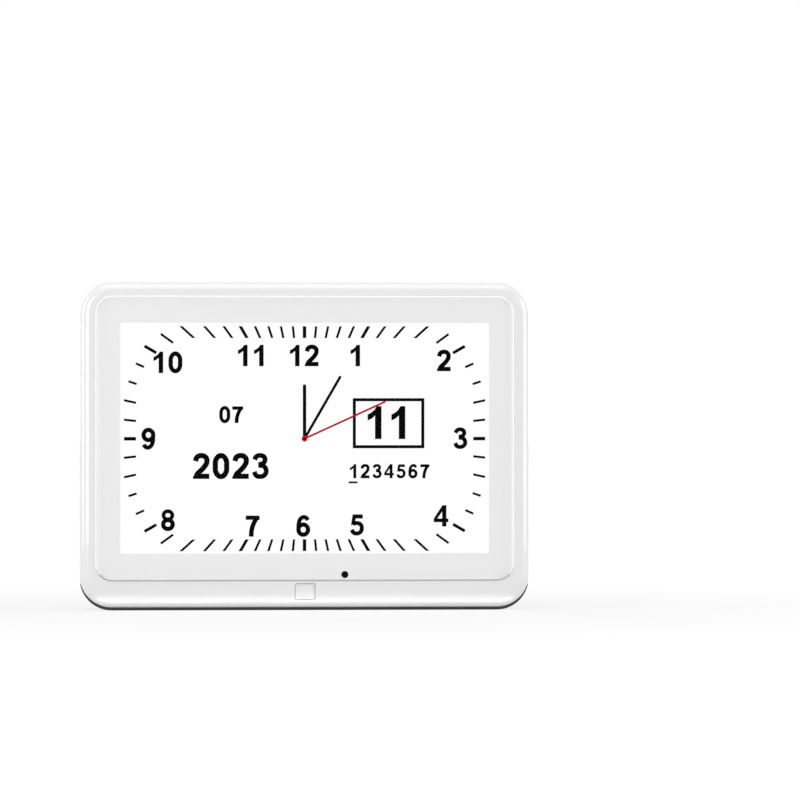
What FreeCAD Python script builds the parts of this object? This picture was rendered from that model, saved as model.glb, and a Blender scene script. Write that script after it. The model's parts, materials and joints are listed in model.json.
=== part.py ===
import FreeCAD, Part
import math
import os

# A wall and desk clock that draws its dial on an eight inch flat screen.
# X runs to the right as the reader sees the dial, Y from the glass to the back
# and Z up. The origin is on the table, below the middle of the case.
# All sizes are millimetres.

V = FreeCAD.Vector
PAST = 1.0  # how far a cutting shape runs past the face that it leaves

# Lit picture of the screen, which sets the size of everything round it
active_width = 172.2
active_height = 107.6
border_side = 11.65  # from the picture to the glass's edge
border_end = 12.7
rim_side = 7.25  # from the glass to the outside of the case
rim_top = 6.4
chin_height = 12.6

# Case
case_depth = 24.0
corner_radius = 15.0
front_edge_radius = 4.4
rear_edge_radius = 4.0
frame_depth = 10.0  # from the glass to the seam between front frame and rear cover
frame_wall = 2.2
cover_wall = 2.2
rear_wall = 2.2
seam_step = 0.3  # the rear cover is this much smaller all round
lip_thick = 1.3
lip_reach = 1.6  # how far the cover's rim goes into the frame
lip_root = 2.0
fit_gap = 0.15  # between fixed plastic parts that slide together

# The chin below the glass leans back
chin_slope = 6.0  # degrees
chin_bend_radius = 30.0

# Glass and what is bonded behind it
glass_radius = 8.0
glass_thick = 1.5
glass_proud = 0.6  # how far the glass stands in front of the frame
glass_bevel = 0.5
glass_gap = 0.12
mask_thick = 0.15
tape_thick = 0.25
tape_inset = 0.5
gasket_thick = 0.5
gasket_width = 3.0
gasket_inset = 1.5
ledge_thick = 2.0

# Screen module
module_side = 5.9
module_top = 3.6
module_bottom = 6.5
module_radius = 1.2
module_gap = 0.5  # between the module and the frame's window
bezel_sheet = 0.3
bezel_cover = 1.2  # the bezel's lip stops this far from the picture
cell_thick = 1.4
guide_thick = 2.6
tray_sheet = 0.4
layer_gap = 0.1
led_bar_height = 2.0

# Clamps that hold the module in the frame
bracket_width = 10.0
bracket_thick = 1.0
bracket_reach = 6.0  # how far a bracket covers the tray
bracket_boss_radius = 3.0
bracket_boss_offset = 5.2  # from the module's edge
bracket_spread = 76.0  # between upper and lower brackets

# Small self tapping screws, used for all light parts
tap_shank_radius = 1.0
tap_length = 4.0
tap_head_radius = 1.9
tap_head_thick = 1.2
pilot_gap = 0.03  # a screw's hole is this much wider than its shank
hole_gap = 0.15  # a clearance hole is this much wider

# Case screws
case_shank_radius = 1.3
case_screw_length = 9.0
case_head_radius = 2.4
case_head_thick = 1.8
case_screw_inset = 9.5  # from the case's outside to the screw's axis
screw_sink = 8.5  # depth of the screw's well in the rear face
well_radius = 2.9
well_wall = 1.4
well_floor = 2.2
frame_boss_radius = 3.2
pilot_spare = 1.0

# Feet
foot_height = 1.2
foot_end_inset = 0.4  # from the case's sides to the ends of the strips
foot_strip_width = 4.0
rear_strip_setback = 9.0  # from the rear face

# Receiver window in the chin and light sensor hole behind the glass
window_width = 9.1
window_height = 7.2
window_radius = 0.6
window_low = 4.0  # above the case's underside
window_gap = 0.2
window_flange = 1.6
window_flange_thick = 0.8
window_bezel_depth = 1.45  # from the glass face to the window's own face
sensor_x = 18.6
sensor_hole_radius = 1.65
sensor_radius = 1.7
sensor_gap = 0.2
post_radius = 2.4
post_height = 3.4
sensor_board_thick = 1.0
sensor_board_side = 7.0
sensor_board_low = 4.6
sensor_board_height = 12.5
receiver_width = 5.6
receiver_height = 6.0
receiver_thick = 1.6
receiver_dome = 1.6

# Main board
board_left_inset = 65.0  # from the case's left side
board_right_inset = 25.0
board_above_bay = 0.2
board_above_hinge = 4.8
board_thick = 1.2
spacer_height = 3.0
spacer_radius = 2.4
board_hole_inset = 4.0
board_screw_length = 3.6
board_shank_radius = 1.0
chip_thick = 1.0
chip_space = 6.0
processor_side = 14.0
memory_width = 12.0
memory_height = 9.0
sound_side = 8.0
coil_side = 7.0
coil_height = 3.0
can_side = 24.0
memory_to_cell = 13.2  # from the memory chip to the cell's holder
can_low = 26.0  # from the board's lower edge
can_height = 2.4
can_sheet = 0.3
cell_radius = 10.0
cell_height = 3.2
cell_step = 1.2  # the cell's lid is this much smaller in radius
holder_wall = 1.4
holder_floor = 1.2
connector_depth = 4.2
connector_height = 5.0
connector_side = 1.5  # a connector is this much wider than its lead at each side
connector_wall = 1.0
connector_edge = 1.0  # from the board's edge to a connector
capacitor_count = 3
capacitor_radius = 2.5
capacitor_height = 4.4
capacitor_pitch = 8.0
backlight_in = 12.0  # from the board's left edge to the middle of each connector
screen_in = 40.0
sensor_in = 64.0
cell_side_room = 4.0
cell_top_room = 14.0

# Power socket and the bay for its plug
socket_inset = 44.0  # from the case's right side
socket_width = 9.0
socket_length = 14.0
socket_height = 10.0
socket_axis_up = 5.5  # above the board's face
socket_bore_radius = 3.15
socket_bore_depth = 9.5
socket_nose_radius = 4.0
socket_pin_radius = 1.0
socket_pin_setback = 1.0
bay_width = 22.0
bay_height = 26.8
bay_wall = 1.8
bay_floor_behind_seam = 1.9

# Keys
key_count = 6
key_names = ["power", "menu", "back", "up", "down", "enter"]
key_pitch = 14.0
key_width = 9.0
key_height = 5.6
key_radius = 1.4
key_gap = 0.25
key_row_down = 40.0  # below the case's top
key_dish_depth = 1.2
key_dish_margin = 4.5
key_dish_radius = 4.8
key_below_back = 0.2
key_flange = 1.1
key_flange_thick = 0.8
key_flange_gap = 0.2
key_travel = 0.4
key_stem_radius = 1.5
key_stem_length = 0.9
pad_thick = 1.0
switch_side = 6.0
switch_height = 3.4
plunger_radius = 1.75
plunger_rise = 0.7
plunger_sunk = 1.0
plunger_gap = 0.1
key_board_thick = 1.2
key_post_gap = 1.6  # from the key cable to the head of the nearest screw
key_board_height = 14.0
key_post_radius = 2.4
key_post_inset = 3.0

# Loudspeaker
speaker_inset = 35.0  # from the case's left side
speaker_up = 40.0  # above the case's underside
speaker_radius = 18.0
speaker_flange = 1.2
speaker_seal = 3.0
seal_width = 2.6
basket_depth = 6.2
basket_wall = 0.8
magnet_radius = 9.0
magnet_height = 2.8
cone_sheet = 0.5
cone_depth = 4.4
cone_cap_radius = 4.6
ear_radius = 2.6
ear_out = 1.5  # from the flange's edge to an ear's screw
grille_radius = 13.0
grille_hole_radius = 0.9
grille_pitch = 3.6

# Air slots above the keys
slot_count = 10
slot_width = 2.0
slot_height = 9.0
slot_pitch = 6.0
slot_down = 24.0  # below the case's top

# Keyholes for two wall screws
keyhole_inset = 33.0  # from the case's sides
keyhole_down = 42.0  # below the case's top
keyhole_entry_radius = 4.25
keyhole_slot_half = 2.2
keyhole_rise = 8.0
keyhole_depth = 4.6
keyhole_side = 1.0  # room at each side of a screw's head
keyhole_wall = 1.2

# Stand
leg_width = 49.4
hinge_below_keys = 22.0
leg_thick = 4.0
leg_corner_radius = 6.0
leg_skin = 1.6
leg_rim = 2.2
leg_pocket_low = 8.0
leg_pocket_high = 8.0
leg_tip_up = 6.0  # above the case's underside, when folded
leg_below_back = 0.5
hinge_radius = 1.5
hinge_gap = 0.03
knuckle_radius = 2.2
stop_height = 5.0
stop_thick = 2.5
stop_gap = 0.1
leg_opening = 28.0  # degrees
recess_side_gap = 1.3
recess_end_gap = 1.0
recess_wall = 2.0
washer_thick = 1.0
washer_radius = 2.2
notch_width = 10.0
notch_height = 20.0
notch_up = 36.0  # above the case's underside
pad_length = 40.0
pad_rise = 3.0
pad_proud = 0.6
pin_seat_width = 5.0
pin_seat_height = 15.0
retainer_thick = 1.0
retainer_screw_offset = 4.6
rib_gap = 0.1

# Leads inside the case
wire_radius = 0.6
wire_pitch = 1.6
ribbon_thick = 0.3
screen_ribbon_width = 24.0
key_ribbon_width = 7.0
two_wire_width = 4.0
lead_gap = 0.05
lead_drop = 7.0  # how far the screen's cable dips below the board
wire_drop = 5.0
wire_run = 9.0

# Sizes and places that follow from the sizes above
glass_width = active_width + 2 * border_side
glass_height = active_height + 2 * border_end
case_width = glass_width + 2 * rim_side
case_height = chin_height + glass_height + rim_top
half_width = case_width / 2
case_low = foot_height
case_high = foot_height + case_height
case_mid = foot_height + case_height / 2
glass_y = -case_depth / 2
back_y = case_depth / 2
face_y = glass_y + glass_proud
seam_y = glass_y + frame_depth
inner_back_y = back_y - rear_wall

glass_low = case_low + chin_height
glass_mid = glass_low + glass_height / 2
glass_back_y = glass_y + glass_thick
mask_back_y = glass_back_y + mask_thick
ledge_y = mask_back_y + tape_thick
plate_y = ledge_y + ledge_thick

bezel_y = mask_back_y + gasket_thick
cell_y = bezel_y + bezel_sheet
guide_y = cell_y + cell_thick + layer_gap
tray_floor_y = guide_y + guide_thick
tray_back_y = tray_floor_y + tray_sheet
module_width = active_width + 2 * module_side
module_height = active_height + module_top + module_bottom
module_mid = glass_mid + (module_top - module_bottom) / 2
module_low = module_mid - module_height / 2

sensor_z = (glass_low + module_low - module_gap) / 2  # middle of the ledge
window_z = case_low + window_low + window_height / 2
window_y = glass_y + window_bezel_depth
sensor_board_y = plate_y + post_height

socket_x = half_width - socket_inset
bay_left = socket_x - bay_width / 2
bay_right = socket_x + bay_width / 2
bay_floor_y = seam_y + bay_floor_behind_seam
bay_top = case_low + bay_height

key_z = case_high - key_row_down
dish_y = back_y - key_dish_depth
pad_y = inner_back_y - pad_thick
key_top_y = back_y - key_below_back
key_flange_y = pad_y - key_flange_gap - key_flange_thick
plunger_y = key_flange_y - key_stem_length
switch_y = plunger_y - plunger_rise
key_board_back_y = switch_y - switch_height
key_board_y = key_board_back_y - key_board_thick
key_places = [(i - (key_count - 1) / 2) * key_pitch for i in range(key_count)]

speaker_x = speaker_inset - half_width
speaker_z = case_low + speaker_up
flange_back_y = inner_back_y - speaker_seal
flange_y = flange_back_y - speaker_flange
basket_y = flange_y - basket_depth
ear_reach = (speaker_radius + ear_out) / math.sqrt(2)
ear_places = [(speaker_x + sx * ear_reach, speaker_z + sz * ear_reach) for sx in (-1, 1) for sz in (-1, 1)]

leg_tip = case_low + leg_tip_up
hinge_z = key_z - hinge_below_keys
leg_back_y = back_y - leg_below_back
leg_y = leg_back_y - leg_thick
hinge_y = leg_back_y - leg_thick / 2
opening = math.radians(leg_opening)
stop_back = hinge_y - leg_back_y + stop_thick
recess_y = hinge_y - stop_back * math.cos(opening) - stop_height * math.sin(opening) - stop_gap
recess_half = leg_width / 2 + recess_side_gap
recess_low = leg_tip - pad_proud - recess_end_gap
recess_high = hinge_z + stop_height + recess_end_gap
seat_y = recess_y - recess_wall
notch_z = case_low + notch_up

board_y = tray_back_y + spacer_height
board_back_y = board_y + board_thick
socket_y = board_back_y + socket_axis_up
board_left = board_left_inset - half_width
board_right = half_width - board_right_inset
board_low = bay_top + bay_wall + board_above_bay
board_high = hinge_z + board_above_hinge

well_y = back_y - screw_sink
boss_top_y = well_y - well_floor - fit_gap
case_screw_places = [
    (sx * (half_width - case_screw_inset), z)
    for sx in (-1, 1)
    for z in (case_low + case_screw_inset + fit_gap, case_high - case_screw_inset)
]
bracket_x = module_width / 2 + bracket_boss_offset
bracket_places = [(sx, module_mid + sz * bracket_spread / 2) for sx in (-1, 1) for sz in (-1, 1)]
spacer_places = [
    (x, z)
    for x in (board_left + board_hole_inset, board_right - board_hole_inset)
    for z in (board_low + board_hole_inset, board_high - board_hole_inset)
]
pin_seat_end = recess_half + recess_wall + pin_seat_width
key_lead_x = pin_seat_end + key_ribbon_width / 2 + connector_side + module_gap
post_beside_lead = key_lead_x + key_ribbon_width / 2 + key_post_gap + tap_head_radius
post_beside_keys = key_places[-1] + key_width / 2 + key_flange + key_post_gap + key_post_radius
key_board_width = 2 * (max(post_beside_lead, post_beside_keys) + key_post_inset)
sensor_post_places = [(-window_width - sensor_board_side / 4, window_z), (sensor_x / 2, window_z)]
sensor_board_left = sensor_post_places[0][0] - post_radius
sensor_board_right = sensor_x + sensor_board_side
key_post_places = [
    (sx * (key_board_width / 2 - key_post_inset), key_z + sz * (key_board_height / 2 - key_post_inset))
    for sx in (-1, 1)
    for sz in (-1, 1)
]
keyhole_z = case_high - keyhole_down
keyhole_places = [(keyhole_inset - half_width, keyhole_z), (half_width - keyhole_inset, keyhole_z)]


def block(x0, x1, y0, y1, z0, z1):
    """A box between two opposite corners."""
    return Part.makeBox(x1 - x0, y1 - y0, z1 - z0, V(x0, y0, z0))


def slab(width, height, radius, x, z, y0, y1):
    """An upright plate with round corners, centred on x and z."""
    plate = block(x - width / 2, x + width / 2, y0, y1, z - height / 2, z + height / 2)
    corners = [e for e in plate.Edges if abs(e.tangentAt(e.FirstParameter).y) > 0.5]
    return plate.makeFillet(radius, corners)


def rod(radius, x, z, y0, y1):
    """A round bar that runs from front to back."""
    return Part.makeCylinder(radius, y1 - y0, V(x, y0, z), V(0, 1, 0))


def cross_rod(radius, y, z, x0, x1):
    """A round bar that runs from left to right."""
    return Part.makeCylinder(radius, x1 - x0, V(x0, y, z), V(1, 0, 0))


def turned(profile, x, z):
    """A body turned about a front to back axis. The profile lists (radius, y) points."""
    points = [V(x + r, y, z) for r, y in profile]
    face = Part.Face(Part.makePolygon(points + points[:1]))
    return face.revolve(V(x, 0, z), V(0, 1, 0), 360)


def joined(shapes):
    """One solid from shapes that touch or overlap."""
    return shapes[0].multiFuse(shapes[1:]).removeSplitter()


def tap_screw(x, z, head_y, direction):
    """A small pan head screw. head_y is under the head, and direction is where the shank points."""
    tip = head_y + direction * tap_length
    top = head_y - direction * tap_head_thick
    shank = rod(tap_shank_radius, x, z, min(head_y, tip), max(head_y, tip))
    head = rod(tap_head_radius, x, z, min(head_y, top), max(head_y, top))
    edge = [e for e in head.Edges if abs(e.CenterOfMass.y - top) < 0.01]
    return joined([head.makeFillet(tap_head_thick / 2, edge), shank])


def tap_pilot(x, z, mouth_y, direction):
    """The blind hole for a small screw whose shank starts at mouth_y."""
    end = mouth_y + direction * (tap_length + pilot_spare / 2)
    start = mouth_y - direction * PAST
    return rod(tap_shank_radius + pilot_gap, x, z, min(start, end), max(start, end))


def front_blank():
    """The frame's outer form: a round cornered block whose chin leans back and whose front edge is round."""
    turn = math.radians(chin_slope)
    bend = chin_bend_radius

    def on_bend(angle):
        return V(0, face_y + bend * (1 - math.cos(angle)), glass_low - bend * math.sin(angle))

    end = on_bend(turn)
    foot_z = case_low - PAST
    foot = V(0, end.y + (end.z - foot_z) * math.tan(turn), foot_z)
    top = V(0, face_y, case_high + PAST)
    edges = [
        Part.makeLine(top, on_bend(0)),
        Part.Arc(on_bend(0), on_bend(turn / 2), end).toShape(),
        Part.makeLine(end, foot),
        Part.makeLine(foot, V(0, seam_y + PAST, foot_z)),
        Part.makeLine(V(0, seam_y + PAST, foot_z), V(0, seam_y + PAST, top.z)),
        Part.makeLine(V(0, seam_y + PAST, top.z), top),
    ]
    side = Part.Face(Part.Wire(edges))
    side.translate(V(-half_width - PAST, 0, 0))
    profile = side.extrude(V(case_width + 2 * PAST, 0, 0))
    outline = slab(case_width, case_height, corner_radius, 0, case_mid, face_y - PAST, seam_y)
    blank = outline.common(profile)
    rim = []
    for e in blank.Edges:
        m = e.valueAt((e.FirstParameter + e.LastParameter) / 2)
        inside = abs(m.x) < half_width / 2 and case_low + PAST < m.z < case_high - PAST
        if m.y < face_y + front_edge_radius / 2 and not inside:
            rim.append(e)
    return blank.makeFillet(front_edge_radius, rim)


def front_frame():
    """Glossy front shell with a ledge for the glass, a window for the screen and bosses behind."""
    inner_width = case_width - 2 * frame_wall
    inner_height = case_height - 2 * frame_wall
    cavity = slab(inner_width, inner_height, corner_radius - frame_wall, 0, case_mid, plate_y, seam_y + PAST)
    shell = front_blank().cut(cavity)
    bosses = [rod(frame_boss_radius, x, z, plate_y, boss_top_y) for x, z in case_screw_places]
    bosses += [rod(bracket_boss_radius, sx * bracket_x, z, plate_y, tray_back_y) for sx, z in bracket_places]
    bosses += [rod(post_radius, x, z, plate_y, sensor_board_y) for x, z in sensor_post_places]
    shell = joined([shell] + bosses)
    pocket = slab(
        glass_width + 2 * glass_gap,
        glass_height + 2 * glass_gap,
        glass_radius + glass_gap,
        0,
        glass_mid,
        glass_y - PAST,
        ledge_y,
    )
    opening = slab(
        module_width + 2 * module_gap,
        module_height + 2 * module_gap,
        module_radius + module_gap,
        0,
        module_mid,
        glass_y,
        plate_y + PAST,
    )
    window = slab(
        window_width + 2 * window_gap,
        window_height + 2 * window_gap,
        window_radius + window_gap,
        0,
        window_z,
        glass_y,
        plate_y + PAST,
    )
    cuts = [pocket, opening, window]
    cuts += [rod(sensor_radius + sensor_gap, sensor_x, sensor_z, glass_y, plate_y + PAST)]
    for x, z in case_screw_places:
        end = well_y - case_screw_length - pilot_spare
        cuts += [rod(case_shank_radius + pilot_gap, x, z, end, boss_top_y + PAST)]
    cuts += [tap_pilot(sx * bracket_x, z, tray_back_y, -1) for sx, z in bracket_places]
    cuts += [tap_pilot(x, z, sensor_board_y, -1) for x, z in sensor_post_places]
    return shell.cut(cuts)


def cover_glass():
    """Flat front glass with a polished bevel all round."""
    glass = slab(glass_width, glass_height, glass_radius, 0, glass_mid, glass_y, glass_back_y)
    rim = [e for e in glass.Edges if abs(e.CenterOfMass.y - glass_y) < glass_thick / 4]
    return glass.makeChamfer(glass_bevel, rim)


def mask_film():
    """Printed film behind the glass. It frames the picture and leaves a hole for the light sensor."""
    film = slab(glass_width, glass_height, glass_radius, 0, glass_mid, glass_back_y, mask_back_y)
    picture = block(
        -active_width / 2,
        active_width / 2,
        glass_y,
        ledge_y,
        glass_mid - active_height / 2,
        glass_mid + active_height / 2,
    )
    return film.cut([picture, rod(sensor_hole_radius, sensor_x, sensor_z, glass_y, ledge_y)])


def glass_tape():
    """Adhesive ring between the film and the frame's ledge."""
    ring = slab(
        glass_width - 2 * tape_inset,
        glass_height - 2 * tape_inset,
        glass_radius - tape_inset,
        0,
        glass_mid,
        mask_back_y,
        ledge_y,
    )
    inside = slab(
        module_width + 2 * (module_gap + tape_inset),
        module_height + 2 * (module_gap + tape_inset),
        module_radius + module_gap + tape_inset,
        0,
        module_mid,
        glass_y,
        plate_y,
    )
    return ring.cut([inside, rod(sensor_radius + 2 * sensor_gap, sensor_x, sensor_z, glass_y, plate_y)])


def screen_gasket():
    """Foam ring between the film and the screen's bezel."""

    def frame_round(grow, y0, y1):
        width = active_width + 2 * grow
        height = active_height + 2 * grow
        return block(-width / 2, width / 2, y0, y1, glass_mid - height / 2, glass_mid + height / 2)

    outer = frame_round(gasket_inset + gasket_width - bezel_cover, mask_back_y, bezel_y)
    return outer.cut(frame_round(gasket_inset, glass_y, seam_y))


def module_layer(inset, y0, y1):
    """A flat layer of the screen module, smaller than the module by inset at every side."""
    width = module_width - 2 * inset
    height = module_height - 2 * inset
    return block(-width / 2, width / 2, y0, y1, module_mid - height / 2, module_mid + height / 2)


def lcd_bezel():
    """Sheet metal frame that clips over the front of the screen module."""
    shell = slab(module_width, module_height, module_radius, 0, module_mid, bezel_y, tray_back_y)
    picture = block(
        -active_width / 2 - bezel_cover,
        active_width / 2 + bezel_cover,
        glass_y,
        tray_back_y,
        glass_mid - active_height / 2 - bezel_cover,
        glass_mid + active_height / 2 + bezel_cover,
    )
    return shell.cut([module_layer(bezel_sheet, cell_y, tray_back_y + PAST), picture])


def lcd_cell():
    """The two bonded glass plates that hold the liquid crystal."""
    return module_layer(bezel_sheet + layer_gap, cell_y, cell_y + cell_thick)


def tray_inset():
    """From the module's outside to the outside of its tray."""
    return bezel_sheet + layer_gap


def led_top():
    """Height of the upper edge of the strip of LEDs in the tray."""
    return module_low + tray_inset() + tray_sheet + layer_gap + led_bar_height


def light_guide():
    """Acrylic sheet and films that spread the LEDs' light."""
    guide = module_layer(tray_inset() + tray_sheet + layer_gap, guide_y, tray_floor_y)
    led_bay = block(-half_width, half_width, glass_y, back_y, 0, led_top() + layer_gap)
    return guide.cut(led_bay)


def led_strip():
    """Narrow board with the LEDs that light the guide from below."""
    inset = tray_inset() + tray_sheet + layer_gap
    strip = module_layer(inset, guide_y, tray_floor_y)
    return strip.common(block(-half_width, half_width, glass_y, back_y, 0, led_top()))


def lcd_tray():
    """Pressed metal pan behind the light guide."""
    pan = module_layer(tray_inset(), guide_y, tray_back_y)
    return pan.cut(module_layer(tray_inset() + tray_sheet, glass_y, tray_floor_y))


def panel_brackets():
    """Four flat clamps, each screwed to a boss beside the screen module."""
    clamps = []
    for side, z in bracket_places:
        outer = bracket_x + bracket_boss_radius
        inner = module_width / 2 - bracket_reach
        left, right = sorted((side * inner, side * outer))
        low = z - bracket_width / 2
        high = z + bracket_width / 2
        clamp = block(left, right, tray_back_y, tray_back_y + bracket_thick, low, high)
        hole = rod(tap_shank_radius + hole_gap, side * bracket_x, z, glass_y, back_y)
        clamps.append(clamp.cut(hole))
    return Part.makeCompound(clamps)


def recess_shape(grow, y0, y1):
    """The room of the folded leg and the finger notch beside it, larger by grow at every side."""
    leg_room = block(-recess_half - grow, recess_half + grow, y0, y1, recess_low - grow, recess_high + grow)
    notch = slab(
        2 * notch_width + 2 * grow,
        notch_height + 2 * grow,
        notch_width / 2 + grow,
        -recess_half,
        notch_z,
        y0,
        y1,
    )
    return leg_room.fuse(notch)


def pin_seats():
    """Blocks beside the leg's recess that carry the ends of the hinge pin."""
    seats = []
    for side in (-1, 1):
        left, right = sorted((side * recess_half, side * pin_seat_end))
        low = hinge_z - pin_seat_height / 2
        seats.append(block(left, right, seat_y, inner_back_y + PAST / 2, low, low + pin_seat_height))
    return seats


def pin_slots():
    """Open slots through which the hinge pin drops into its seats from inside the case."""
    slots = []
    radius = hinge_radius + hinge_gap
    for side in (-1, 1):
        left, right = sorted((side * (recess_half - PAST), side * pin_seat_end))
        slots.append(block(left, right, seat_y - PAST, hinge_y, hinge_z - radius, hinge_z + radius))
        slots.append(cross_rod(radius, hinge_y, hinge_z, left, right))
    return slots


def keyhole_cut(x, z):
    """Entry hole, slot and the room behind them for the head of a wall screw."""
    entry = rod(keyhole_entry_radius, x, z, inner_back_y - PAST, back_y + PAST)
    top = z + keyhole_rise
    slot = block(x - keyhole_slot_half, x + keyhole_slot_half, inner_back_y - PAST, back_y + PAST, z, top)
    slot_end = rod(keyhole_slot_half, x, top, inner_back_y - PAST, back_y + PAST)
    return [entry, slot, slot_end, keyhole_room(x, z, 0)]


def keyhole_room(x, z, wall):
    """The pocket behind a keyhole, larger by the thickness of its wall."""
    reach = keyhole_entry_radius + keyhole_side + wall
    front = inner_back_y - keyhole_depth - wall
    return block(x - reach, x + reach, front, inner_back_y, z - reach, z + keyhole_rise + reach)


def grille_holes():
    """Round holes on a triangular grid in front of the loudspeaker."""
    holes = []
    row_step = grille_pitch * math.sqrt(3) / 2
    rows = int(grille_radius / row_step)
    for row in range(-rows, rows + 1):
        shift = grille_pitch / 2 if row % 2 else 0
        count = int(grille_radius / grille_pitch) + 1
        for column in range(-count, count + 1):
            x = column * grille_pitch + shift
            z = row * row_step
            if math.hypot(x, z) <= grille_radius:
                hole = rod(grille_hole_radius, x, z, inner_back_y - PAST, back_y + PAST)
                hole.translate(V(speaker_x, 0, speaker_z))
                holes.append(hole)
    return holes


def air_slots():
    """Vertical slots with round ends that let warm air out."""
    slots = []
    for i in range(slot_count):
        x = (i - (slot_count - 1) / 2) * slot_pitch
        z = case_high - slot_down
        end_radius = slot_width * 0.49
        slots.append(slab(slot_width, slot_height, end_radius, x, z, inner_back_y - PAST, back_y + PAST))
    return slots


def cover_outline(inset, y0, y1):
    """A plate of the rear cover's outline, smaller than it by inset at every side."""
    step = seam_step + inset
    return slab(case_width - 2 * step, case_height - 2 * step, corner_radius - step, 0, case_mid, y0, y1)


def cover_shell():
    """The rear cover's outer wall with its round rear edge and the rim that enters the frame."""
    outer = cover_outline(0, seam_y, back_y)
    rim = [e for e in outer.Edges if e.CenterOfMass.y > back_y - 0.01]
    outer = outer.makeFillet(rear_edge_radius, rim)
    cavity = cover_outline(cover_wall, seam_y - PAST, inner_back_y)
    lip_inset = frame_wall + fit_gap - seam_step
    lip = cover_outline(lip_inset, seam_y - lip_reach, seam_y + lip_root)
    lip = lip.cut(cover_outline(lip_inset + lip_thick, seam_y - lip_reach - PAST, seam_y + lip_root + PAST))
    return joined([outer.cut(cavity), lip])


def rear_cover():
    """Matt rear shell: leg recess, cable bay, key dish, keyholes, grille, air slots and screw wells."""
    adds = [cover_shell()]
    adds.append(recess_shape(recess_wall, seat_y, inner_back_y + PAST / 2))
    adds += pin_seats()
    floor_low = case_low + seam_step
    adds.append(
        block(
            bay_left - bay_wall,
            bay_right + bay_wall,
            seam_y,
            inner_back_y + PAST / 2,
            floor_low,
            bay_top + bay_wall,
        )
    )
    dish_width = (key_count - 1) * key_pitch + key_width + 2 * key_dish_margin
    dish_height = key_height + 2 * key_dish_margin
    adds.append(slab(dish_width, dish_height, key_radius, 0, key_z, pad_y, inner_back_y + PAST / 2))
    adds += [keyhole_room(x, z, keyhole_wall) for x, z in keyhole_places]
    for x, z in case_screw_places:
        adds.append(rod(well_radius + well_wall, x, z, well_y - well_floor, inner_back_y + PAST / 2))
    for x, z in key_post_places:
        adds.append(rod(key_post_radius, x, z, key_board_back_y, inner_back_y + PAST / 2))
    for x, z in ear_places:
        adds.append(rod(ear_radius, x, z, flange_back_y, inner_back_y + PAST / 2))
    cover = joined(adds)

    cuts = [recess_shape(0, recess_y, back_y + PAST)]
    cuts += pin_slots()
    cuts.append(block(bay_left, bay_right, bay_floor_y, back_y + PAST, case_low - PAST, bay_top))
    nose_hole = Part.makeCylinder(socket_nose_radius + fit_gap, bay_wall + 2 * PAST)
    nose_hole.translate(V(socket_x, socket_y, bay_top - PAST))
    cuts.append(nose_hole)
    cuts.append(slab(dish_width, dish_height, key_dish_radius, 0, key_z, dish_y, back_y + PAST))
    for x in key_places:
        hole_width = key_width + 2 * key_gap
        hole_height = key_height + 2 * key_gap
        hole_radius = key_radius + key_gap
        cuts.append(slab(hole_width, hole_height, hole_radius, x, key_z, pad_y - PAST, back_y + PAST))
    for x, z in keyhole_places:
        cuts += keyhole_cut(x, z)
    cuts += grille_holes()
    cuts += air_slots()
    for x, z in case_screw_places:
        cuts.append(rod(well_radius, x, z, well_y, back_y + PAST))
        cuts.append(rod(case_shank_radius + hole_gap, x, z, well_y - well_floor - PAST, well_y + PAST))
    cuts += [tap_pilot(x, z, key_board_back_y, 1) for x, z in key_post_places]
    cuts += [tap_pilot(x, z, flange_back_y, 1) for x, z in ear_places]
    for side in (-1, 1):
        for end in (-1, 1):
            x = side * (pin_seat_end - pin_seat_width / 2)
            cuts.append(tap_pilot(x, hinge_z + end * retainer_screw_offset, seat_y, 1))
    return cover.cut(cuts)


def foot_strips():
    """Rubber strips along the underside that thin out round the lower corners, split at the cable bay.

    The front strip starts where the front edge's rounding ends."""
    x = half_width - foot_end_inset

    def lowered(y):
        """The case's outline, moved down to the table."""
        middle = case_mid - foot_height
        plate = slab(case_width, case_height, corner_radius, 0, middle, y, y + foot_strip_width)
        return plate.common(block(-x, x, glass_y, back_y, 0, case_mid))

    front = lowered(face_y + front_edge_radius).cut(front_blank())
    rear = lowered(back_y - rear_strip_setback).cut(
        [
            cover_outline(0, seam_y, back_y),
            block(bay_left - bay_wall, bay_right + bay_wall, glass_y, back_y, -PAST, bay_top),
        ]
    )
    return Part.makeCompound(front.Solids + rear.Solids)


def case_screws():
    """Four screws that pull the rear cover onto the front frame."""
    screws = []
    for x, z in case_screw_places:
        head = rod(case_head_radius, x, z, well_y, well_y + case_head_thick)
        edge = [e for e in head.Edges if abs(e.CenterOfMass.y - well_y - case_head_thick) < 0.01]
        head = head.makeFillet(case_head_thick / 3, edge)
        shank = rod(case_shank_radius, x, z, well_y - case_screw_length, well_y)
        screw = joined([head, shank])
        half = case_head_radius / 2
        top = well_y + case_head_thick
        for wide, tall in ((half, half / 4), (half / 4, half)):
            cross = block(x - wide, x + wide, top - case_head_thick / 2, top + PAST, z - tall, z + tall)
            screw = screw.cut(cross)
        screws.append(screw)
    return Part.makeCompound(screws)


def ir_window():
    """Milky window in the chin with a flange behind the frame's plate."""
    face = slab(window_width, window_height, window_radius, 0, window_z, window_y, plate_y)
    grow = 2 * window_flange
    flange = slab(
        window_width + grow,
        window_height + grow,
        window_flange,
        0,
        window_z,
        plate_y,
        plate_y + window_flange_thick,
    )
    return joined([face, flange])


def sensor_board():
    """Small board below the screen that carries the light sensor and the remote receiver."""
    low = case_low + sensor_board_low
    board = block(
        sensor_board_left,
        sensor_board_right,
        sensor_board_y,
        sensor_board_y + sensor_board_thick,
        low,
        low + sensor_board_height,
    )
    return board.cut([rod(tap_shank_radius + hole_gap, x, z, glass_y, back_y) for x, z in sensor_post_places])


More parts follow.
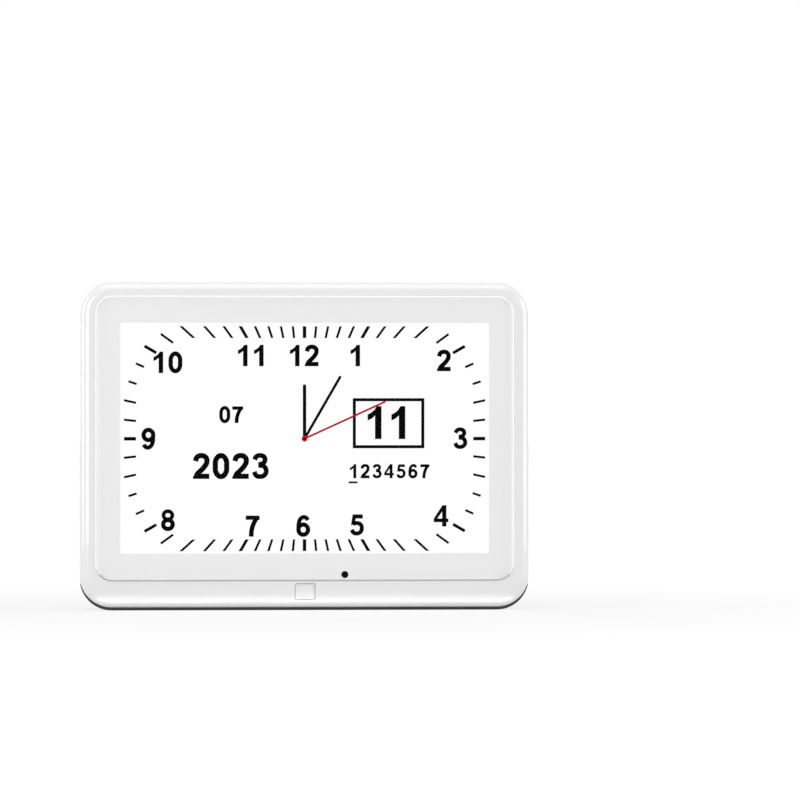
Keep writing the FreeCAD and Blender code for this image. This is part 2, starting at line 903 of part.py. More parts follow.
def light_sensor():
    """Black light sensor that looks through the hole in the film."""
    front = mask_back_y + layer_gap
    body = rod(sensor_radius, sensor_x, sensor_z, front, sensor_board_y)
    edge = [e for e in body.Edges if abs(e.CenterOfMass.y - front) < 0.01]
    return body.makeChamfer(sensor_radius / 8, edge)


def ir_receiver():
    """Dark receiver block with its round lens towards the window."""
    front = sensor_board_y - receiver_thick
    body = block(
        -receiver_width / 2,
        receiver_width / 2,
        front,
        sensor_board_y,
        window_z - receiver_height / 2,
        window_z + receiver_height / 2,
    )
    lens = Part.makeSphere(receiver_dome, V(0, front, window_z))
    lens = lens.common(block(-receiver_width, receiver_width, glass_y, front + PAST / 2, 0, case_high))
    flange_back = plate_y + window_flange_thick
    room = block(-receiver_width, receiver_width, flange_back + lead_gap, back_y, 0, case_high)
    return joined([body, lens.common(room)])


def main_board():
    """Main circuit board, screwed to spacers behind the screen."""
    board = block(board_left, board_right, board_y, board_back_y, board_low, board_high)
    return board.cut([rod(board_shank_radius + hole_gap, x, z, glass_y, back_y) for x, z in spacer_places])


def board_spacers():
    """Four threaded brass spacers on the back of the tray."""
    spacers = []
    for x, z in spacer_places:
        spacer = rod(spacer_radius, x, z, tray_back_y, board_y)
        thread = rod(board_shank_radius + pilot_gap, x, z, tray_back_y + lead_gap, board_y + PAST)
        spacers.append(spacer.cut(thread))
    return Part.makeCompound(spacers)


def board_screws():
    """Machine screws that hold the main board to its spacers."""
    screws = []
    for x, z in spacer_places:
        head = rod(tap_head_radius, x, z, board_back_y, board_back_y + tap_head_thick)
        edge = [e for e in head.Edges if e.CenterOfMass.y > board_back_y + tap_head_thick / 2 + 0.01]
        head = head.makeFillet(tap_head_thick / 2, edge)
        shank = rod(board_shank_radius, x, z, board_back_y - board_screw_length, board_back_y)
        screws.append(joined([head, shank]))
    return Part.makeCompound(screws)


def can_middle():
    """Middle of the shield can and of the processor under it."""
    memory_left = cell_middle()[0] - cell_radius - holder_wall - memory_to_cell - memory_width
    return memory_left - chip_space - can_side / 2, board_low + can_low + can_side / 2


def on_board(x, z, width, height, thick):
    """A flat part soldered to the rear of the main board, centred on x and z."""
    plate = Part.makeBox(width, thick, height)
    plate.translate(V(x - width / 2, board_back_y, z - height / 2))
    return plate


def board_chips():
    """Processor, memory, sound and power chips, a coil and three capacitors."""
    x, z = can_middle()
    memory_x = x + can_side / 2 + chip_space + memory_width / 2
    sound_x = (board_left + x - can_side / 2) / 2
    chips = [on_board(x, z, processor_side, processor_side, chip_thick)]
    chips.append(on_board(memory_x, z, memory_width, memory_height, chip_thick))
    chips.append(on_board(sound_x, z, sound_side, sound_side, chip_thick))
    coil_x = socket_x - socket_width / 2 - chip_space - coil_side / 2
    coil_z = board_low + connector_height + chip_space
    chips.append(on_board(coil_x, coil_z, coil_side, coil_side, coil_height))
    chips.append(on_board(x, z - can_side / 2 - chip_space / 2, memory_height, chip_space / 2, chip_thick))
    for i in range(capacitor_count):
        side = board_left + backlight_in + capacitor_pitch * i
        up = board_low + connector_height + capacitor_pitch
        chips.append(rod(capacitor_radius, side, up, board_back_y, board_back_y + capacitor_height))
    return Part.makeCompound(chips)


def chip_shield():
    """Tinned steel can over the processor."""
    x, z = can_middle()
    room_side = can_side - 2 * can_sheet
    room = on_board(x, z, room_side, room_side, can_height - can_sheet)
    return on_board(x, z, can_side, can_side, can_height).cut(room)


def lead_places():
    """X of the middle of each connector on the board's lower edge."""
    return {
        "backlight": board_left + backlight_in,
        "screen": board_left + screen_in,
        "sensor": board_left + sensor_in,
    }


def connector(width, x, z, upwards):
    """A white socket on the board's rear. Its slot faces the board's edge, down or up."""
    body = block(
        x - width / 2,
        x + width / 2,
        board_back_y,
        board_back_y + connector_depth,
        z,
        z + connector_height,
    )
    slot_low = z + connector_height / 2 if upwards else z - PAST
    slot = block(
        x - width / 2 + connector_wall,
        x + width / 2 - connector_wall,
        board_back_y + connector_wall,
        board_back_y + connector_depth - connector_wall,
        slot_low,
        slot_low + connector_height / 2 + PAST,
    )
    return body.cut(slot)


def board_connectors():
    """Sockets for the screen, backlight, sensor, key and loudspeaker leads."""
    places = lead_places()
    low = board_low + connector_edge
    high = board_high - connector_edge - connector_height
    grow = 2 * connector_side
    group = [
        connector(two_wire_width + grow, places["backlight"], low, False),
        connector(screen_ribbon_width + grow, places["screen"], low, False),
        connector(two_wire_width + grow, places["sensor"], low, False),
        connector(key_ribbon_width + grow, key_lead_x, high, True),
    ]
    sideways = connector(two_wire_width + grow, board_left + connector_edge, speaker_z, False)
    sideways.rotate(V(board_left + connector_edge, 0, speaker_z), V(0, 1, 0), 90)
    group.append(sideways)
    return Part.makeCompound(group)


def cell_middle():
    """Middle of the clock's coin cell."""
    reach = cell_radius + holder_wall
    return board_right - cell_side_room - reach, board_high - cell_top_room - reach


def cell_holder():
    """Black cup for the cell that keeps the time when the power is off."""
    x, z = cell_middle()
    depth = holder_floor + cell_height
    cup = rod(cell_radius + holder_wall, x, z, board_back_y, board_back_y + depth)
    room = rod(cell_radius + hole_gap, x, z, board_back_y + holder_floor, board_back_y + depth + PAST)
    half = cell_radius * 0.4
    notch = block(x - half, x + half, board_back_y + holder_floor, back_y, z - 2 * cell_radius, z)
    return cup.cut([room, notch])


def coin_cell():
    """Lithium coin cell with a stepped edge."""
    x, z = cell_middle()
    y = board_back_y + holder_floor
    can = rod(cell_radius, x, z, y + cell_height / 4, y + cell_height)
    lid = rod(cell_radius - cell_step, x, z, y, y + cell_height / 4)
    return joined([lid, can])


def dc_socket():
    """Round low voltage socket whose nose reaches the top of the cable bay."""
    low = bay_top + bay_wall + fit_gap
    body = block(
        socket_x - socket_width / 2,
        socket_x + socket_width / 2,
        board_back_y,
        board_back_y + socket_height,
        low,
        low + socket_length,
    )
    nose_low = bay_top + fit_gap
    nose = Part.makeCylinder(socket_nose_radius, low - nose_low + PAST)
    nose.translate(V(socket_x, socket_y, nose_low))
    bore = Part.makeCylinder(socket_bore_radius, socket_bore_depth + PAST)
    bore.translate(V(socket_x, socket_y, nose_low - PAST))
    return joined([body, nose]).cut(bore)


def socket_pin():
    """Metal centre pin of the power socket."""
    low = bay_top + fit_gap + socket_pin_setback
    high = bay_top + fit_gap + socket_bore_depth
    return Part.makeCylinder(socket_pin_radius, high - low, V(socket_x, socket_y, low))


def key_cap(x):
    """A rear key: cap, flange behind the cover and stem on the switch."""
    cap = slab(key_width, key_height, key_radius, x, key_z, key_flange_y, key_top_y)
    rim = [e for e in cap.Edges if e.CenterOfMass.y > key_top_y - 0.01]
    cap = cap.makeFillet(key_radius / 3, rim)
    flange = slab(
        key_width + 2 * key_flange,
        key_height + 2 * key_flange,
        key_radius,
        x,
        key_z,
        key_flange_y,
        key_flange_y + key_flange_thick,
    )
    return joined([cap, flange, rod(key_stem_radius, x, key_z, plunger_y, key_flange_y)])


def switch_plunger(x):
    """The round button of a tact switch."""
    return rod(plunger_radius, x, key_z, switch_y - plunger_sunk, plunger_y)


def key_switches():
    """Bodies of the tact switches, each with the bore that its plunger moves in."""
    bodies = []
    for x in key_places:
        half = switch_side / 2
        body = block(x - half, x + half, key_board_back_y, switch_y, key_z - half, key_z + half)
        end = switch_y - plunger_sunk - key_travel - plunger_gap
        bodies.append(body.cut(rod(plunger_radius + plunger_gap, x, key_z, end, switch_y + PAST)))
    return Part.makeCompound(bodies)


def key_board():
    """Board behind the keys, screwed to posts in the rear cover."""
    half = key_board_width / 2
    low = key_z - key_board_height / 2
    board = block(-half, half, key_board_y, key_board_back_y, low, low + key_board_height)
    return board.cut([rod(tap_shank_radius + hole_gap, x, z, glass_y, back_y) for x, z in key_post_places])


def speaker_frame():
    """Pressed basket with a flat flange and four ears."""
    inner = speaker_radius - seal_width
    outer_profile = [
        (0, flange_back_y),
        (speaker_radius, flange_back_y),
        (speaker_radius, flange_y),
        (inner + basket_wall, flange_y),
        (magnet_radius, basket_y),
        (0, basket_y),
    ]
    inner_profile = [
        (0, flange_back_y + PAST),
        (inner, flange_back_y + PAST),
        (inner, flange_y),
        (magnet_radius - basket_wall, basket_y + basket_wall),
        (0, basket_y + basket_wall),
    ]
    basket = turned(outer_profile, speaker_x, speaker_z)
    ears = []
    for x, z in ear_places:
        ears.append(rod(ear_radius, x, z, flange_y, flange_back_y))
    whole = joined([basket] + ears).cut(turned(inner_profile, speaker_x, speaker_z))
    return whole.cut([rod(tap_shank_radius + hole_gap, x, z, glass_y, back_y) for x, z in ear_places])


def speaker_magnet():
    """Ring magnet with its steel plate, seen as one disc."""
    disc = rod(magnet_radius, speaker_x, speaker_z, basket_y - magnet_height, basket_y)
    return disc.makeChamfer(basket_wall / 2, [e for e in disc.Edges if abs(e.CenterOfMass.y - basket_y) > 1])


def speaker_cone():
    """Paper cone with a domed cap, glued to the flange's rear."""
    outer = speaker_radius - seal_width + basket_wall
    rim_y = flange_back_y + cone_sheet
    low_y = flange_back_y - cone_depth
    profile = [
        (0, low_y),
        (cone_cap_radius, low_y),
        (outer - 2 * basket_wall, flange_back_y),
        (outer, flange_back_y),
        (outer, rim_y),
        (outer - 2 * basket_wall - cone_sheet / 2, rim_y),
        (cone_cap_radius, low_y + cone_sheet),
        (0, low_y + 2 * cone_sheet),
    ]
    return turned(profile, speaker_x, speaker_z)


def speaker_gasket():
    """Foam ring between the loudspeaker's flange and the rear wall."""
    cone_rim = speaker_radius - seal_width + basket_wall + fit_gap
    ring = rod(speaker_radius, speaker_x, speaker_z, flange_back_y, inner_back_y)
    hole = rod(cone_rim, speaker_x, speaker_z, flange_back_y - PAST, inner_back_y + PAST)
    cuts = [hole]
    for x, z in ear_places:
        cuts.append(rod(ear_radius + fit_gap, x, z, flange_back_y - PAST, inner_back_y + PAST))
    return ring.cut(cuts)


def small_screws():
    """All the identical self tapping screws."""
    screws = [tap_screw(sx * bracket_x, z, tray_back_y + bracket_thick, -1) for sx, z in bracket_places]
    screws += [tap_screw(x, z, sensor_board_y + sensor_board_thick, -1) for x, z in sensor_post_places]
    screws += [tap_screw(x, z, key_board_y, 1) for x, z in key_post_places]
    screws += [tap_screw(x, z, flange_y, 1) for x, z in ear_places]
    for side in (-1, 1):
        for end in (-1, 1):
            x = side * (pin_seat_end - pin_seat_width / 2)
            z = hinge_z + end * retainer_screw_offset
            screws.append(tap_screw(x, z, seat_y - retainer_thick, 1))
    return Part.makeCompound(screws)


def stand_leg():
    """Fold-out leg: thin skin with a rim, hinge barrel and a stop tab above the hinge."""
    half = leg_width / 2
    plate = block(-half, half, leg_y, leg_back_y, leg_tip, hinge_z)
    low_edges = [e for e in plate.Edges if e.CenterOfMass.z < leg_tip + PAST]
    corners = [e for e in low_edges if abs(e.tangentAt(e.FirstParameter).y) > 0.5]
    plate = plate.makeFillet(leg_corner_radius, corners)
    barrel = cross_rod(knuckle_radius, hinge_y, hinge_z, -half, half)
    tab = block(-half, half, leg_back_y - stop_thick, leg_back_y, hinge_z, hinge_z + stop_height)
    leg = joined([plate, barrel, tab])
    pocket_low = leg_tip + leg_pocket_low
    pocket_high = hinge_z - leg_pocket_high
    pocket_width = (leg_width - 3 * leg_rim) / 2
    cuts = [cross_rod(hinge_radius + hinge_gap, hinge_y, hinge_z, -half - PAST, half + PAST)]
    for side in (-1, 1):
        x = side * (pocket_width + leg_rim) / 2
        pocket_height = pocket_high - pocket_low
        middle = (pocket_low + pocket_high) / 2
        pocket_radius = leg_corner_radius - leg_rim
        skin_y = leg_back_y - leg_skin
        cuts.append(slab(pocket_width, pocket_height, pocket_radius, x, middle, leg_y - PAST, skin_y))
    cuts.append(pad_shape(fit_gap / 3))
    return leg.cut(cuts)


def pad_shape(grow):
    """The rubber pad's block at the leg's tip, larger by grow."""
    half = pad_length / 2 - leg_corner_radius / 2
    inset = leg_thick / 5
    return block(
        -half - grow,
        half + grow,
        leg_y + inset - grow,
        leg_back_y - inset + grow,
        leg_tip - pad_proud,
        leg_tip - pad_proud + pad_rise + grow,
    )


def stand_pad():
    """Rubber pad in a groove at the leg's tip."""
    return pad_shape(0)


def stand_pin():
    """Steel hinge pin of the leg."""
    half = pin_seat_end - rib_gap
    return cross_rod(hinge_radius, hinge_y, hinge_z, -half, half)


def stand_washers():
    """Friction washers between the leg's barrel and the sides of its recess."""
    washers = []
    for side in (-1, 1):
        gap = (recess_side_gap - washer_thick) / 2
        left, right = sorted((side * (recess_half - gap), side * (recess_half - gap - washer_thick)))
        disc = cross_rod(washer_radius, hinge_y, hinge_z, left, right)
        bore = cross_rod(hinge_radius + hinge_gap, hinge_y, hinge_z, left - PAST, right + PAST)
        washers.append(disc.cut(bore))
    return Part.makeCompound(washers)


def stand_retainers():
    """Steel straps that close the pin's seats, each with a rib down to the pin."""
    straps = []
    for side in (-1, 1):
        left, right = sorted((side * (pin_seat_end - pin_seat_width), side * pin_seat_end))
        low = hinge_z - pin_seat_height / 2
        plate = block(left, right, seat_y - retainer_thick, seat_y, low, low + pin_seat_height)
        half = hinge_radius - rib_gap
        rib = block(left, right, seat_y, hinge_y - hinge_radius - lead_gap, hinge_z - half, hinge_z + half)
        strap = joined([plate, rib])
        x = (left + right) / 2
        for end in (-1, 1):
            z = hinge_z + end * retainer_screw_offset
            strap = strap.cut(rod(tap_shank_radius + hole_gap, x, z, glass_y, seat_y + PAST))
        straps.append(strap)
    return Part.makeCompound(straps)


def route(points):
    """Straight runs through the points, joined by tangent arcs as large as the runs allow."""
    edges = []
    start = points[0]
    radii = []
    for before, corner, after in zip(points, points[1:], points[2:]):
        into = (before - corner).normalize()
        out = (after - corner).normalize()
        half_turn = (math.pi - into.getAngle(out)) / 2
        cut = 0.45 * min(before.distanceToPoint(corner), after.distanceToPoint(corner))
        radius = cut / math.tan(half_turn)
        first = corner + into * cut
        last = corner + out * cut
        toward = (into + out).normalize()
        middle = corner + toward * (radius / math.cos(half_turn) - radius)
        edges += [Part.makeLine(start, first), Part.Arc(first, middle, last).toShape()]
        start = last
        radii.append(radius)
    edges.append(Part.makeLine(start, points[-1]))
    print("smallest bend", round(min(radii), 2) if radii else "none")
    return Part.Wire(edges)


def wire_tube(points):
    """A round insulated wire along a route."""
    path = route(points)
    direction = (points[1] - points[0]).normalize()
    section = Part.Wire(Part.makeCircle(wire_radius, points[0], direction))
    tube = path.makePipeShell([section], True, True)
    check_volume("wire", tube, math.pi * wire_radius**2 * path.Length)
    return tube


def ribbon(points, width):
    """A flat cable along a route in one upright plane."""
    path = route(points)
    x = points[0].x
    y = points[0].y
    z = points[0].z
    half = ribbon_thick / 2
    corners = [
        V(x - width / 2, y - half, z),
        V(x + width / 2, y - half, z),
        V(x + width / 2, y + half, z),
        V(x - width / 2, y + half, z),
    ]
    section = Part.makePolygon(corners + corners[:1])
    strip = path.makePipeShell([section], True, True)
    check_volume("ribbon", strip, width * ribbon_thick * path.Length)
    return strip


def check_volume(name, solid, expected):
    """Prints how a swept body's volume compares with its section times its length."""
    print(name, "length", round(expected, 1), "volume ratio", round(solid.Volume / expected, 4))


def slot_mouth_y():
    """Middle of a connector's slot, from front to back."""
    return board_back_y + connector_depth / 2


def screen_flex():
    """Flat cable from the back of the tray, round the board's lower edge, to its connector."""
    x = lead_places()["screen"]
    near = tray_back_y + ribbon_thick / 2 + lead_gap
    turn_z = board_low - lead_drop
    points = [
        V(x, near, board_low + lead_drop / 4),
        V(x, near, turn_z),
        V(x, slot_mouth_y(), turn_z),
        V(x, slot_mouth_y(), board_low + connector_edge + connector_height / 2),
    ]
    return ribbon(points, screen_ribbon_width)


def lead_pair(places, step):
    """Two wires side by side. step moves the second one."""
    return Part.makeCompound([wire_tube([p + step * k for p in places]) for k in (-0.5, 0.5)])


def backlight_lead():
    """Two wires from the LED strip's end, round the board's edge, to their connector."""
    x = lead_places()["backlight"]
    near = tray_back_y + wire_radius + lead_gap
    turn_z = board_low - wire_drop
    points = [
        V(x - 1.5 * wire_run, near, turn_z),
        V(x - wire_run / 2, near, turn_z),
        V(x, slot_mouth_y(), turn_z + wire_drop / 5),
        V(x, slot_mouth_y(), board_low + connector_edge + connector_height / 2),
    ]
    return lead_pair(points, V(wire_pitch, 0, 0))


def sensor_lead():
    """Two wires from the sensor board up to the main board."""
    x = lead_places()["sensor"]
    start_y = sensor_board_y + sensor_board_thick + wire_radius + lead_gap
    start_z = case_low + sensor_board_low + sensor_board_height / 2
    points = [
        V(sensor_x, start_y, start_z),
        V((sensor_x + x) / 2, start_y, start_z + sensor_board_height / 2),
        V(x, slot_mouth_y(), board_low - wire_drop * 0.8),
        V(x, slot_mouth_y(), board_low + connector_edge + connector_height / 2),
    ]
    return lead_pair(points, V(wire_pitch, 0, 0))


def speaker_leads():
    """Two wires from the loudspeaker's basket to the board's left edge."""
    basket_middle = (speaker_radius - seal_width + basket_wall + magnet_radius) / 2
    start_x = speaker_x + basket_middle + 2 * wire_radius
    points = [
        V(start_x, flange_y - basket_depth / 2, speaker_z),
        V(start_x + wire_run / 2, slot_mouth_y(), speaker_z),
        V(board_left + connector_edge + connector_height / 2, slot_mouth_y(), speaker_z),
    ]
    return lead_pair(points, V(0, 0, wire_pitch))


def key_flex():
    """Flat cable from the key board down to the main board."""
    x = key_lead_x
    near = key_board_y - ribbon_thick / 2
    low = board_high - connector_edge - connector_height / 2
    points = [
        V(x, near, key_z - key_board_height / 4),
        V(x, near, key_z - key_board_height / 2 - connector_edge),
        V(x, slot_mouth_y(), board_high + 2 * connector_edge),
        V(x, slot_mouth_y(), low),
    ]
    return ribbon(points, key_ribbon_width)


parts = {
    "front_frame": front_frame,
    "rear_cover": rear_cover,
    "cover_glass": cover_glass,
    "mask_film": mask_film,
    "glass_tape": glass_tape,
    "screen_gasket": screen_gasket,
    "lcd_bezel": lcd_bezel,
    "lcd_cell": lcd_cell,
    "light_guide": light_guide,
    "led_strip": led_strip,
    "lcd_tray": lcd_tray,
    "panel_brackets": panel_brackets,
    "ir_window": ir_window,
    "sensor_board": sensor_board,
    "light_sensor": light_sensor,
    "ir_receiver": ir_receiver,
    "main_board": main_board,
    "board_spacers": board_spacers,
    "board_screws": board_screws,
    "board_chips": board_chips,
    "chip_shield": chip_shield,
    "board_connectors": board_connectors,
    "cell_holder": cell_holder,
    "coin_cell": coin_cell,
    "dc_socket": dc_socket,
    "socket_pin": socket_pin,
    "key_board": key_board,
    "key_switches": key_switches,
    "speaker_frame": speaker_frame,
    "speaker_magnet": speaker_magnet,
    "speaker_cone": speaker_cone,
    "speaker_gasket": speaker_gasket,
    "small_screws": small_screws,
    "case_screws": case_screws,
    "foot_strips": foot_strips,
    "stand_leg": stand_leg,
    "stand_pad": stand_pad,
    "stand_pin": stand_pin,
    "stand_washers": stand_washers,
    "stand_retainers": stand_retainers,
    "screen_flex": screen_flex,
    "backlight_lead": backlight_lead,
    "sensor_lead": sensor_lead,
    "speaker_leads": speaker_leads,
    "key_flex": key_flex,
}

os.makedirs("parts", exist_ok=True)
solids = {name: make() for name, make in parts.items()}
for name, x in zip(key_names, key_places):
    solids[name + "_key"] = key_cap(x)
    solids[name + "_plunger"] = switch_plunger(x)
for name, shape in solids.items():
    shape.exportStep("parts/" + name + ".step")
    box = shape.BoundBox
    print(name, len(shape.Solids), shape.isValid(), round(shape.Volume, 1))
    print("   ", [round(v, 2) for v in (box.XMin, box.XMax, box.YMin, box.YMax, box.ZMin, box.ZMax)])
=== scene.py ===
# %% [markdown]
# # A wall and desk clock with a dial drawn on its screen
#
# The clock is a flat white case with a sheet of glass over an eight inch screen. The measured solids
# come in as a fixed frame, and this lesson adds what a measured solid can't show: the marks on the
# screen, a glass with a ground edge, the signs on the rear keys, and a finish for every surface.
#
# Blender counts in metres. The clock's own sizes are written in millimetres here and multiplied by
# MM, and those of the room are in metres. X runs to the right as the dial is read, Y from the glass
# to the back and Z up from the table.

# %% Load the measured frame
import json
import math

import bpy
from mathutils import Matrix, Vector


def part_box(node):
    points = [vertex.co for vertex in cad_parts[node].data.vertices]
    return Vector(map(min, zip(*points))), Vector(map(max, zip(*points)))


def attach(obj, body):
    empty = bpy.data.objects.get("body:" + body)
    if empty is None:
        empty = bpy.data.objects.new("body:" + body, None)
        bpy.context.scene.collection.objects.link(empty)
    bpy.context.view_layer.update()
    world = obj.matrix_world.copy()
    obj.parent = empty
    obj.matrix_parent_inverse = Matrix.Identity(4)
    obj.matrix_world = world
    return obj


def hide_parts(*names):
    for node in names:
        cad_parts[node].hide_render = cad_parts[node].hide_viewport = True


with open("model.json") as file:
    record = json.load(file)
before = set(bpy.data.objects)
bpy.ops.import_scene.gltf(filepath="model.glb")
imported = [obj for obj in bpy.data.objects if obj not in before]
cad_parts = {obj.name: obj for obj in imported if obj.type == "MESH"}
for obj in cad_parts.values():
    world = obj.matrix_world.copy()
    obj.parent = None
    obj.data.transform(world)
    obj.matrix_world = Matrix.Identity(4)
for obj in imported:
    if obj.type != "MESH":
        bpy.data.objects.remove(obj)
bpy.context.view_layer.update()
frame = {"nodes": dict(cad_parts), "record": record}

MM = 0.001
nodes = frame["nodes"]

# %% [markdown]
# ## Small helpers for working by hand
#
# An operator acts on everything that is selected, so each step begins by selecting one piece alone.
# A finished piece keeps its place in its mesh and its object at the origin, which keeps patterns
# that read object coordinates still when the piece moves.

# %% Helpers for selecting and placing
def only(*pieces):
    """Makes these the only selected pieces, and the first of them the active one."""
    bpy.ops.object.select_all(action="DESELECT")
    for piece in pieces:
        piece.select_set(True)
    bpy.context.view_layer.objects.active = pieces[0]


def settle(piece, place=None):
    """Moves a piece to its place and writes the place into its mesh."""
    only(piece)
    if place is not None:
        piece.matrix_world = place
    bpy.ops.object.transform_apply(location=True, rotation=True, scale=True)


FRONT = Matrix.Rotation(math.radians(90), 4, "X")  # stands a flat sheet up to face the reader
REAR = Matrix.Rotation(math.radians(180), 4, "Z") @ FRONT  # stands it up to face away


def on_front(x, y, z):
    """The place of a flat sheet that faces the reader at x, y, z in millimetres."""
    return Matrix.Translation((x * MM, y * MM, z * MM)) @ FRONT


def on_rear(x, y, z):
    """The same for a sheet that faces away from the reader."""
    return Matrix.Translation((x * MM, y * MM, z * MM)) @ REAR


print("up on a sheet becomes", [round(value) for value in FRONT @ Vector((0, 1, 0))])

# %% [markdown]
# ## Small helpers for meshes
#
# A shape that repeats is modelled once and copied, and each copy gets a mesh of its own. Meshes that
# were joined or turned over may have doubled points or faces that look inwards, so the doubles are
# merged first, and then every face is turned outwards.

# %% Helpers for copying and joining
def apply_all(piece):
    """Applies every modifier of a piece, in order."""
    only(piece)
    for name in [m.name for m in piece.modifiers]:
        bpy.ops.object.modifier_apply(modifier=name)


def copy_of(piece, name):
    """A copy with its own mesh."""
    twin = piece.copy()
    twin.data = piece.data.copy()
    twin.name = name
    bpy.context.scene.collection.objects.link(twin)
    return twin


def welded(pieces, name):
    """Joins pieces into one mesh and names it."""
    only(*pieces)
    if len(pieces) > 1:
        bpy.ops.object.join()
    piece = bpy.context.object
    piece.name = name
    piece.data.name = name
    return piece


def outward(piece):
    """Merges doubles and turns every face outwards."""
    only(piece)
    bpy.ops.object.mode_set(mode="EDIT")
    bpy.ops.mesh.select_all(action="SELECT")
    bpy.ops.mesh.remove_doubles(threshold=1e-7)
    bpy.ops.mesh.normals_make_consistent(inside=False)
    bpy.ops.object.mode_set(mode="OBJECT")
    return piece


print("mesh helpers ready")

# %% [markdown]
# ## Joining nodes
#
# A material is a tree of nodes. An output socket of one node is linked to an input socket of the
# next, and an input that nothing is linked to keeps a number of its own. These helpers join nodes
# and do sums with what they put out.

# %% Links and sums
def link(tree, start, end):
    """Joins two sockets."""
    tree.links.new(start, end)


def feed(tree, value, socket):
    """Gives a socket its value: a number, or the output of another node."""
    if isinstance(value, bpy.types.NodeSocket):
        link(tree, value, socket)
    else:
        socket.default_value = value


def own_place(tree):
    """Where a point of the surface lies, in metres."""
    return tree.nodes.new("ShaderNodeTexCoord").outputs["Object"]


def maths(tree, operation, *values):
    """The result of an operation on one, two or three values."""
    node = tree.nodes.new("ShaderNodeMath")
    node.operation = operation
    for value, socket in zip(values, node.inputs):
        feed(tree, value, socket)
    return node.outputs[0]


print("helpers for links and sums ready")

# %% [markdown]
# ## Patterns from noise
#
# A real surface is never quite the same all over. Noise gives a value that changes from place to
# place, a range turns it into what a socket needs, such as a roughness or a grey, and a mix lays one
# shader over another by it.

# %% Noise, ranges and mixes
def noise(tree, where, scale, detail):
    """Noise between 0 and 1, at a scale in repeats per metre."""
    node = tree.nodes.new("ShaderNodeTexNoise")
    node.inputs["Detail"].default_value = detail
    link(tree, where, node.inputs["Vector"])
    feed(tree, scale, node.inputs["Scale"])
    return node.outputs["Fac"]


def spread(tree, value, low, high, start=0.0, end=1.0):
    """Stretches what runs from start to end, so that it runs from low to high and no further."""
    node = tree.nodes.new("ShaderNodeMapRange")
    limits = {"Value": value, "From Min": start, "From Max": end, "To Min": low, "To Max": high}
    for label, limit in limits.items():
        feed(tree, limit, node.inputs[label])
    return node.outputs["Result"]


def grey(tree, level):
    """A grey whose level changes over the surface."""
    node = tree.nodes.new("ShaderNodeCombineColor")
    for channel in ("Red", "Green", "Blue"):
        link(tree, level, node.inputs[channel])
    return node.outputs[0]


def mixed(tree, share, first, second):
    """A mix of two shaders: the first alone at a share of 0, and the second alone at 1."""
    node = tree.nodes.new("ShaderNodeMixShader")
    for start, end in zip((share, first, second), node.inputs):
        link(tree, start, end)
    return node.outputs[0]


print("helpers for patterns ready")

# %% [markdown]
# ## Shared effects as node groups
#
# Moulded plastic, rubber, metal and circuit boards all break up the light a little, each at its own
# scale. One group of nodes makes that break-up from noise. It puts out a colour, a roughness and a
# height, and each material feeds these to its own shader with its own values.

# %% A group for fine surface break-up
def new_group(name, inputs, outputs):
    """An empty shader node group with the named sockets."""
    group = bpy.data.node_groups.new(name, "ShaderNodeTree")
    for label, kind, value in inputs:
        socket = group.interface.new_socket(name=label, in_out="INPUT", socket_type=kind)
        socket.default_value = value
    for label, kind in outputs:
        group.interface.new_socket(name=label, in_out="OUTPUT", socket_type=kind)
    return group


def make_break_up():
    """Noise at two scales: a broad one for colour and shine, a fine one for grain."""
    tree = new_group(
        "surface_break_up",
        [
            ("Stretch", "NodeSocketVector", (1, 1, 1)),
            ("Broad scale", "NodeSocketFloat", 30),
            ("Fine scale", "NodeSocketFloat", 3000),
            ("Colour", "NodeSocketColor", (0.8, 0.8, 0.8, 1)),
            ("Shade", "NodeSocketFloat", 0.04),
            ("Rough low", "NodeSocketFloat", 0.3),
            ("Rough high", "NodeSocketFloat", 0.4),
        ],
        [("Colour", "NodeSocketColor"), ("Roughness", "NodeSocketFloat"), ("Height", "NodeSocketFloat")],
    )
    entry = tree.nodes.new("NodeGroupInput")
    leave = tree.nodes.new("NodeGroupOutput")
    stretched = tree.nodes.new("ShaderNodeVectorMath")
    stretched.operation = "MULTIPLY"
    link(tree, own_place(tree), stretched.inputs[0])
    link(tree, entry.outputs["Stretch"], stretched.inputs[1])
    broad = noise(tree, stretched.outputs[0], entry.outputs["Broad scale"], detail=3)
    fine = noise(tree, stretched.outputs[0], entry.outputs["Fine scale"], detail=2)
    both = maths(tree, "ADD", broad, fine)
    darker = maths(tree, "MULTIPLY", entry.outputs["Shade"], -1.0)
    lightest = maths(tree, "ADD", entry.outputs["Shade"], 1.0)
    tint = tree.nodes.new("ShaderNodeVectorMath")
    tint.operation = "SCALE"
    link(tree, entry.outputs["Colour"], tint.inputs[0])
    link(tree, maths(tree, "MULTIPLY_ADD", both, darker, lightest), tint.inputs["Scale"])
    link(tree, tint.outputs[0], leave.inputs["Colour"])
    rough = spread(tree, broad, entry.outputs["Rough low"], entry.outputs["Rough high"])
    link(tree, rough, leave.inputs["Roughness"])
    link(tree, fine, leave.inputs["Height"])
    return tree


BREAK_UP = make_break_up()
print("group", BREAK_UP.name)

# %% [markdown]
# ## Finishes
#
# Each finish is a Principled shader with its own values. The shared group gives it colour, roughness
# and grain that change over the surface, and the constant values sit on the shader's own sockets.

# %% A maker of finishes
FINISHES = {}  # every material by its name


def blank(name):
    """Makes a material. Gives its tree, and the socket that the finished surface goes to."""
    material = bpy.data.materials.new(name)
    material.use_nodes = True
    tree = material.node_tree
    tree.nodes.clear()
    FINISHES[name] = material
    return tree, tree.nodes.new("ShaderNodeOutputMaterial").inputs["Surface"]


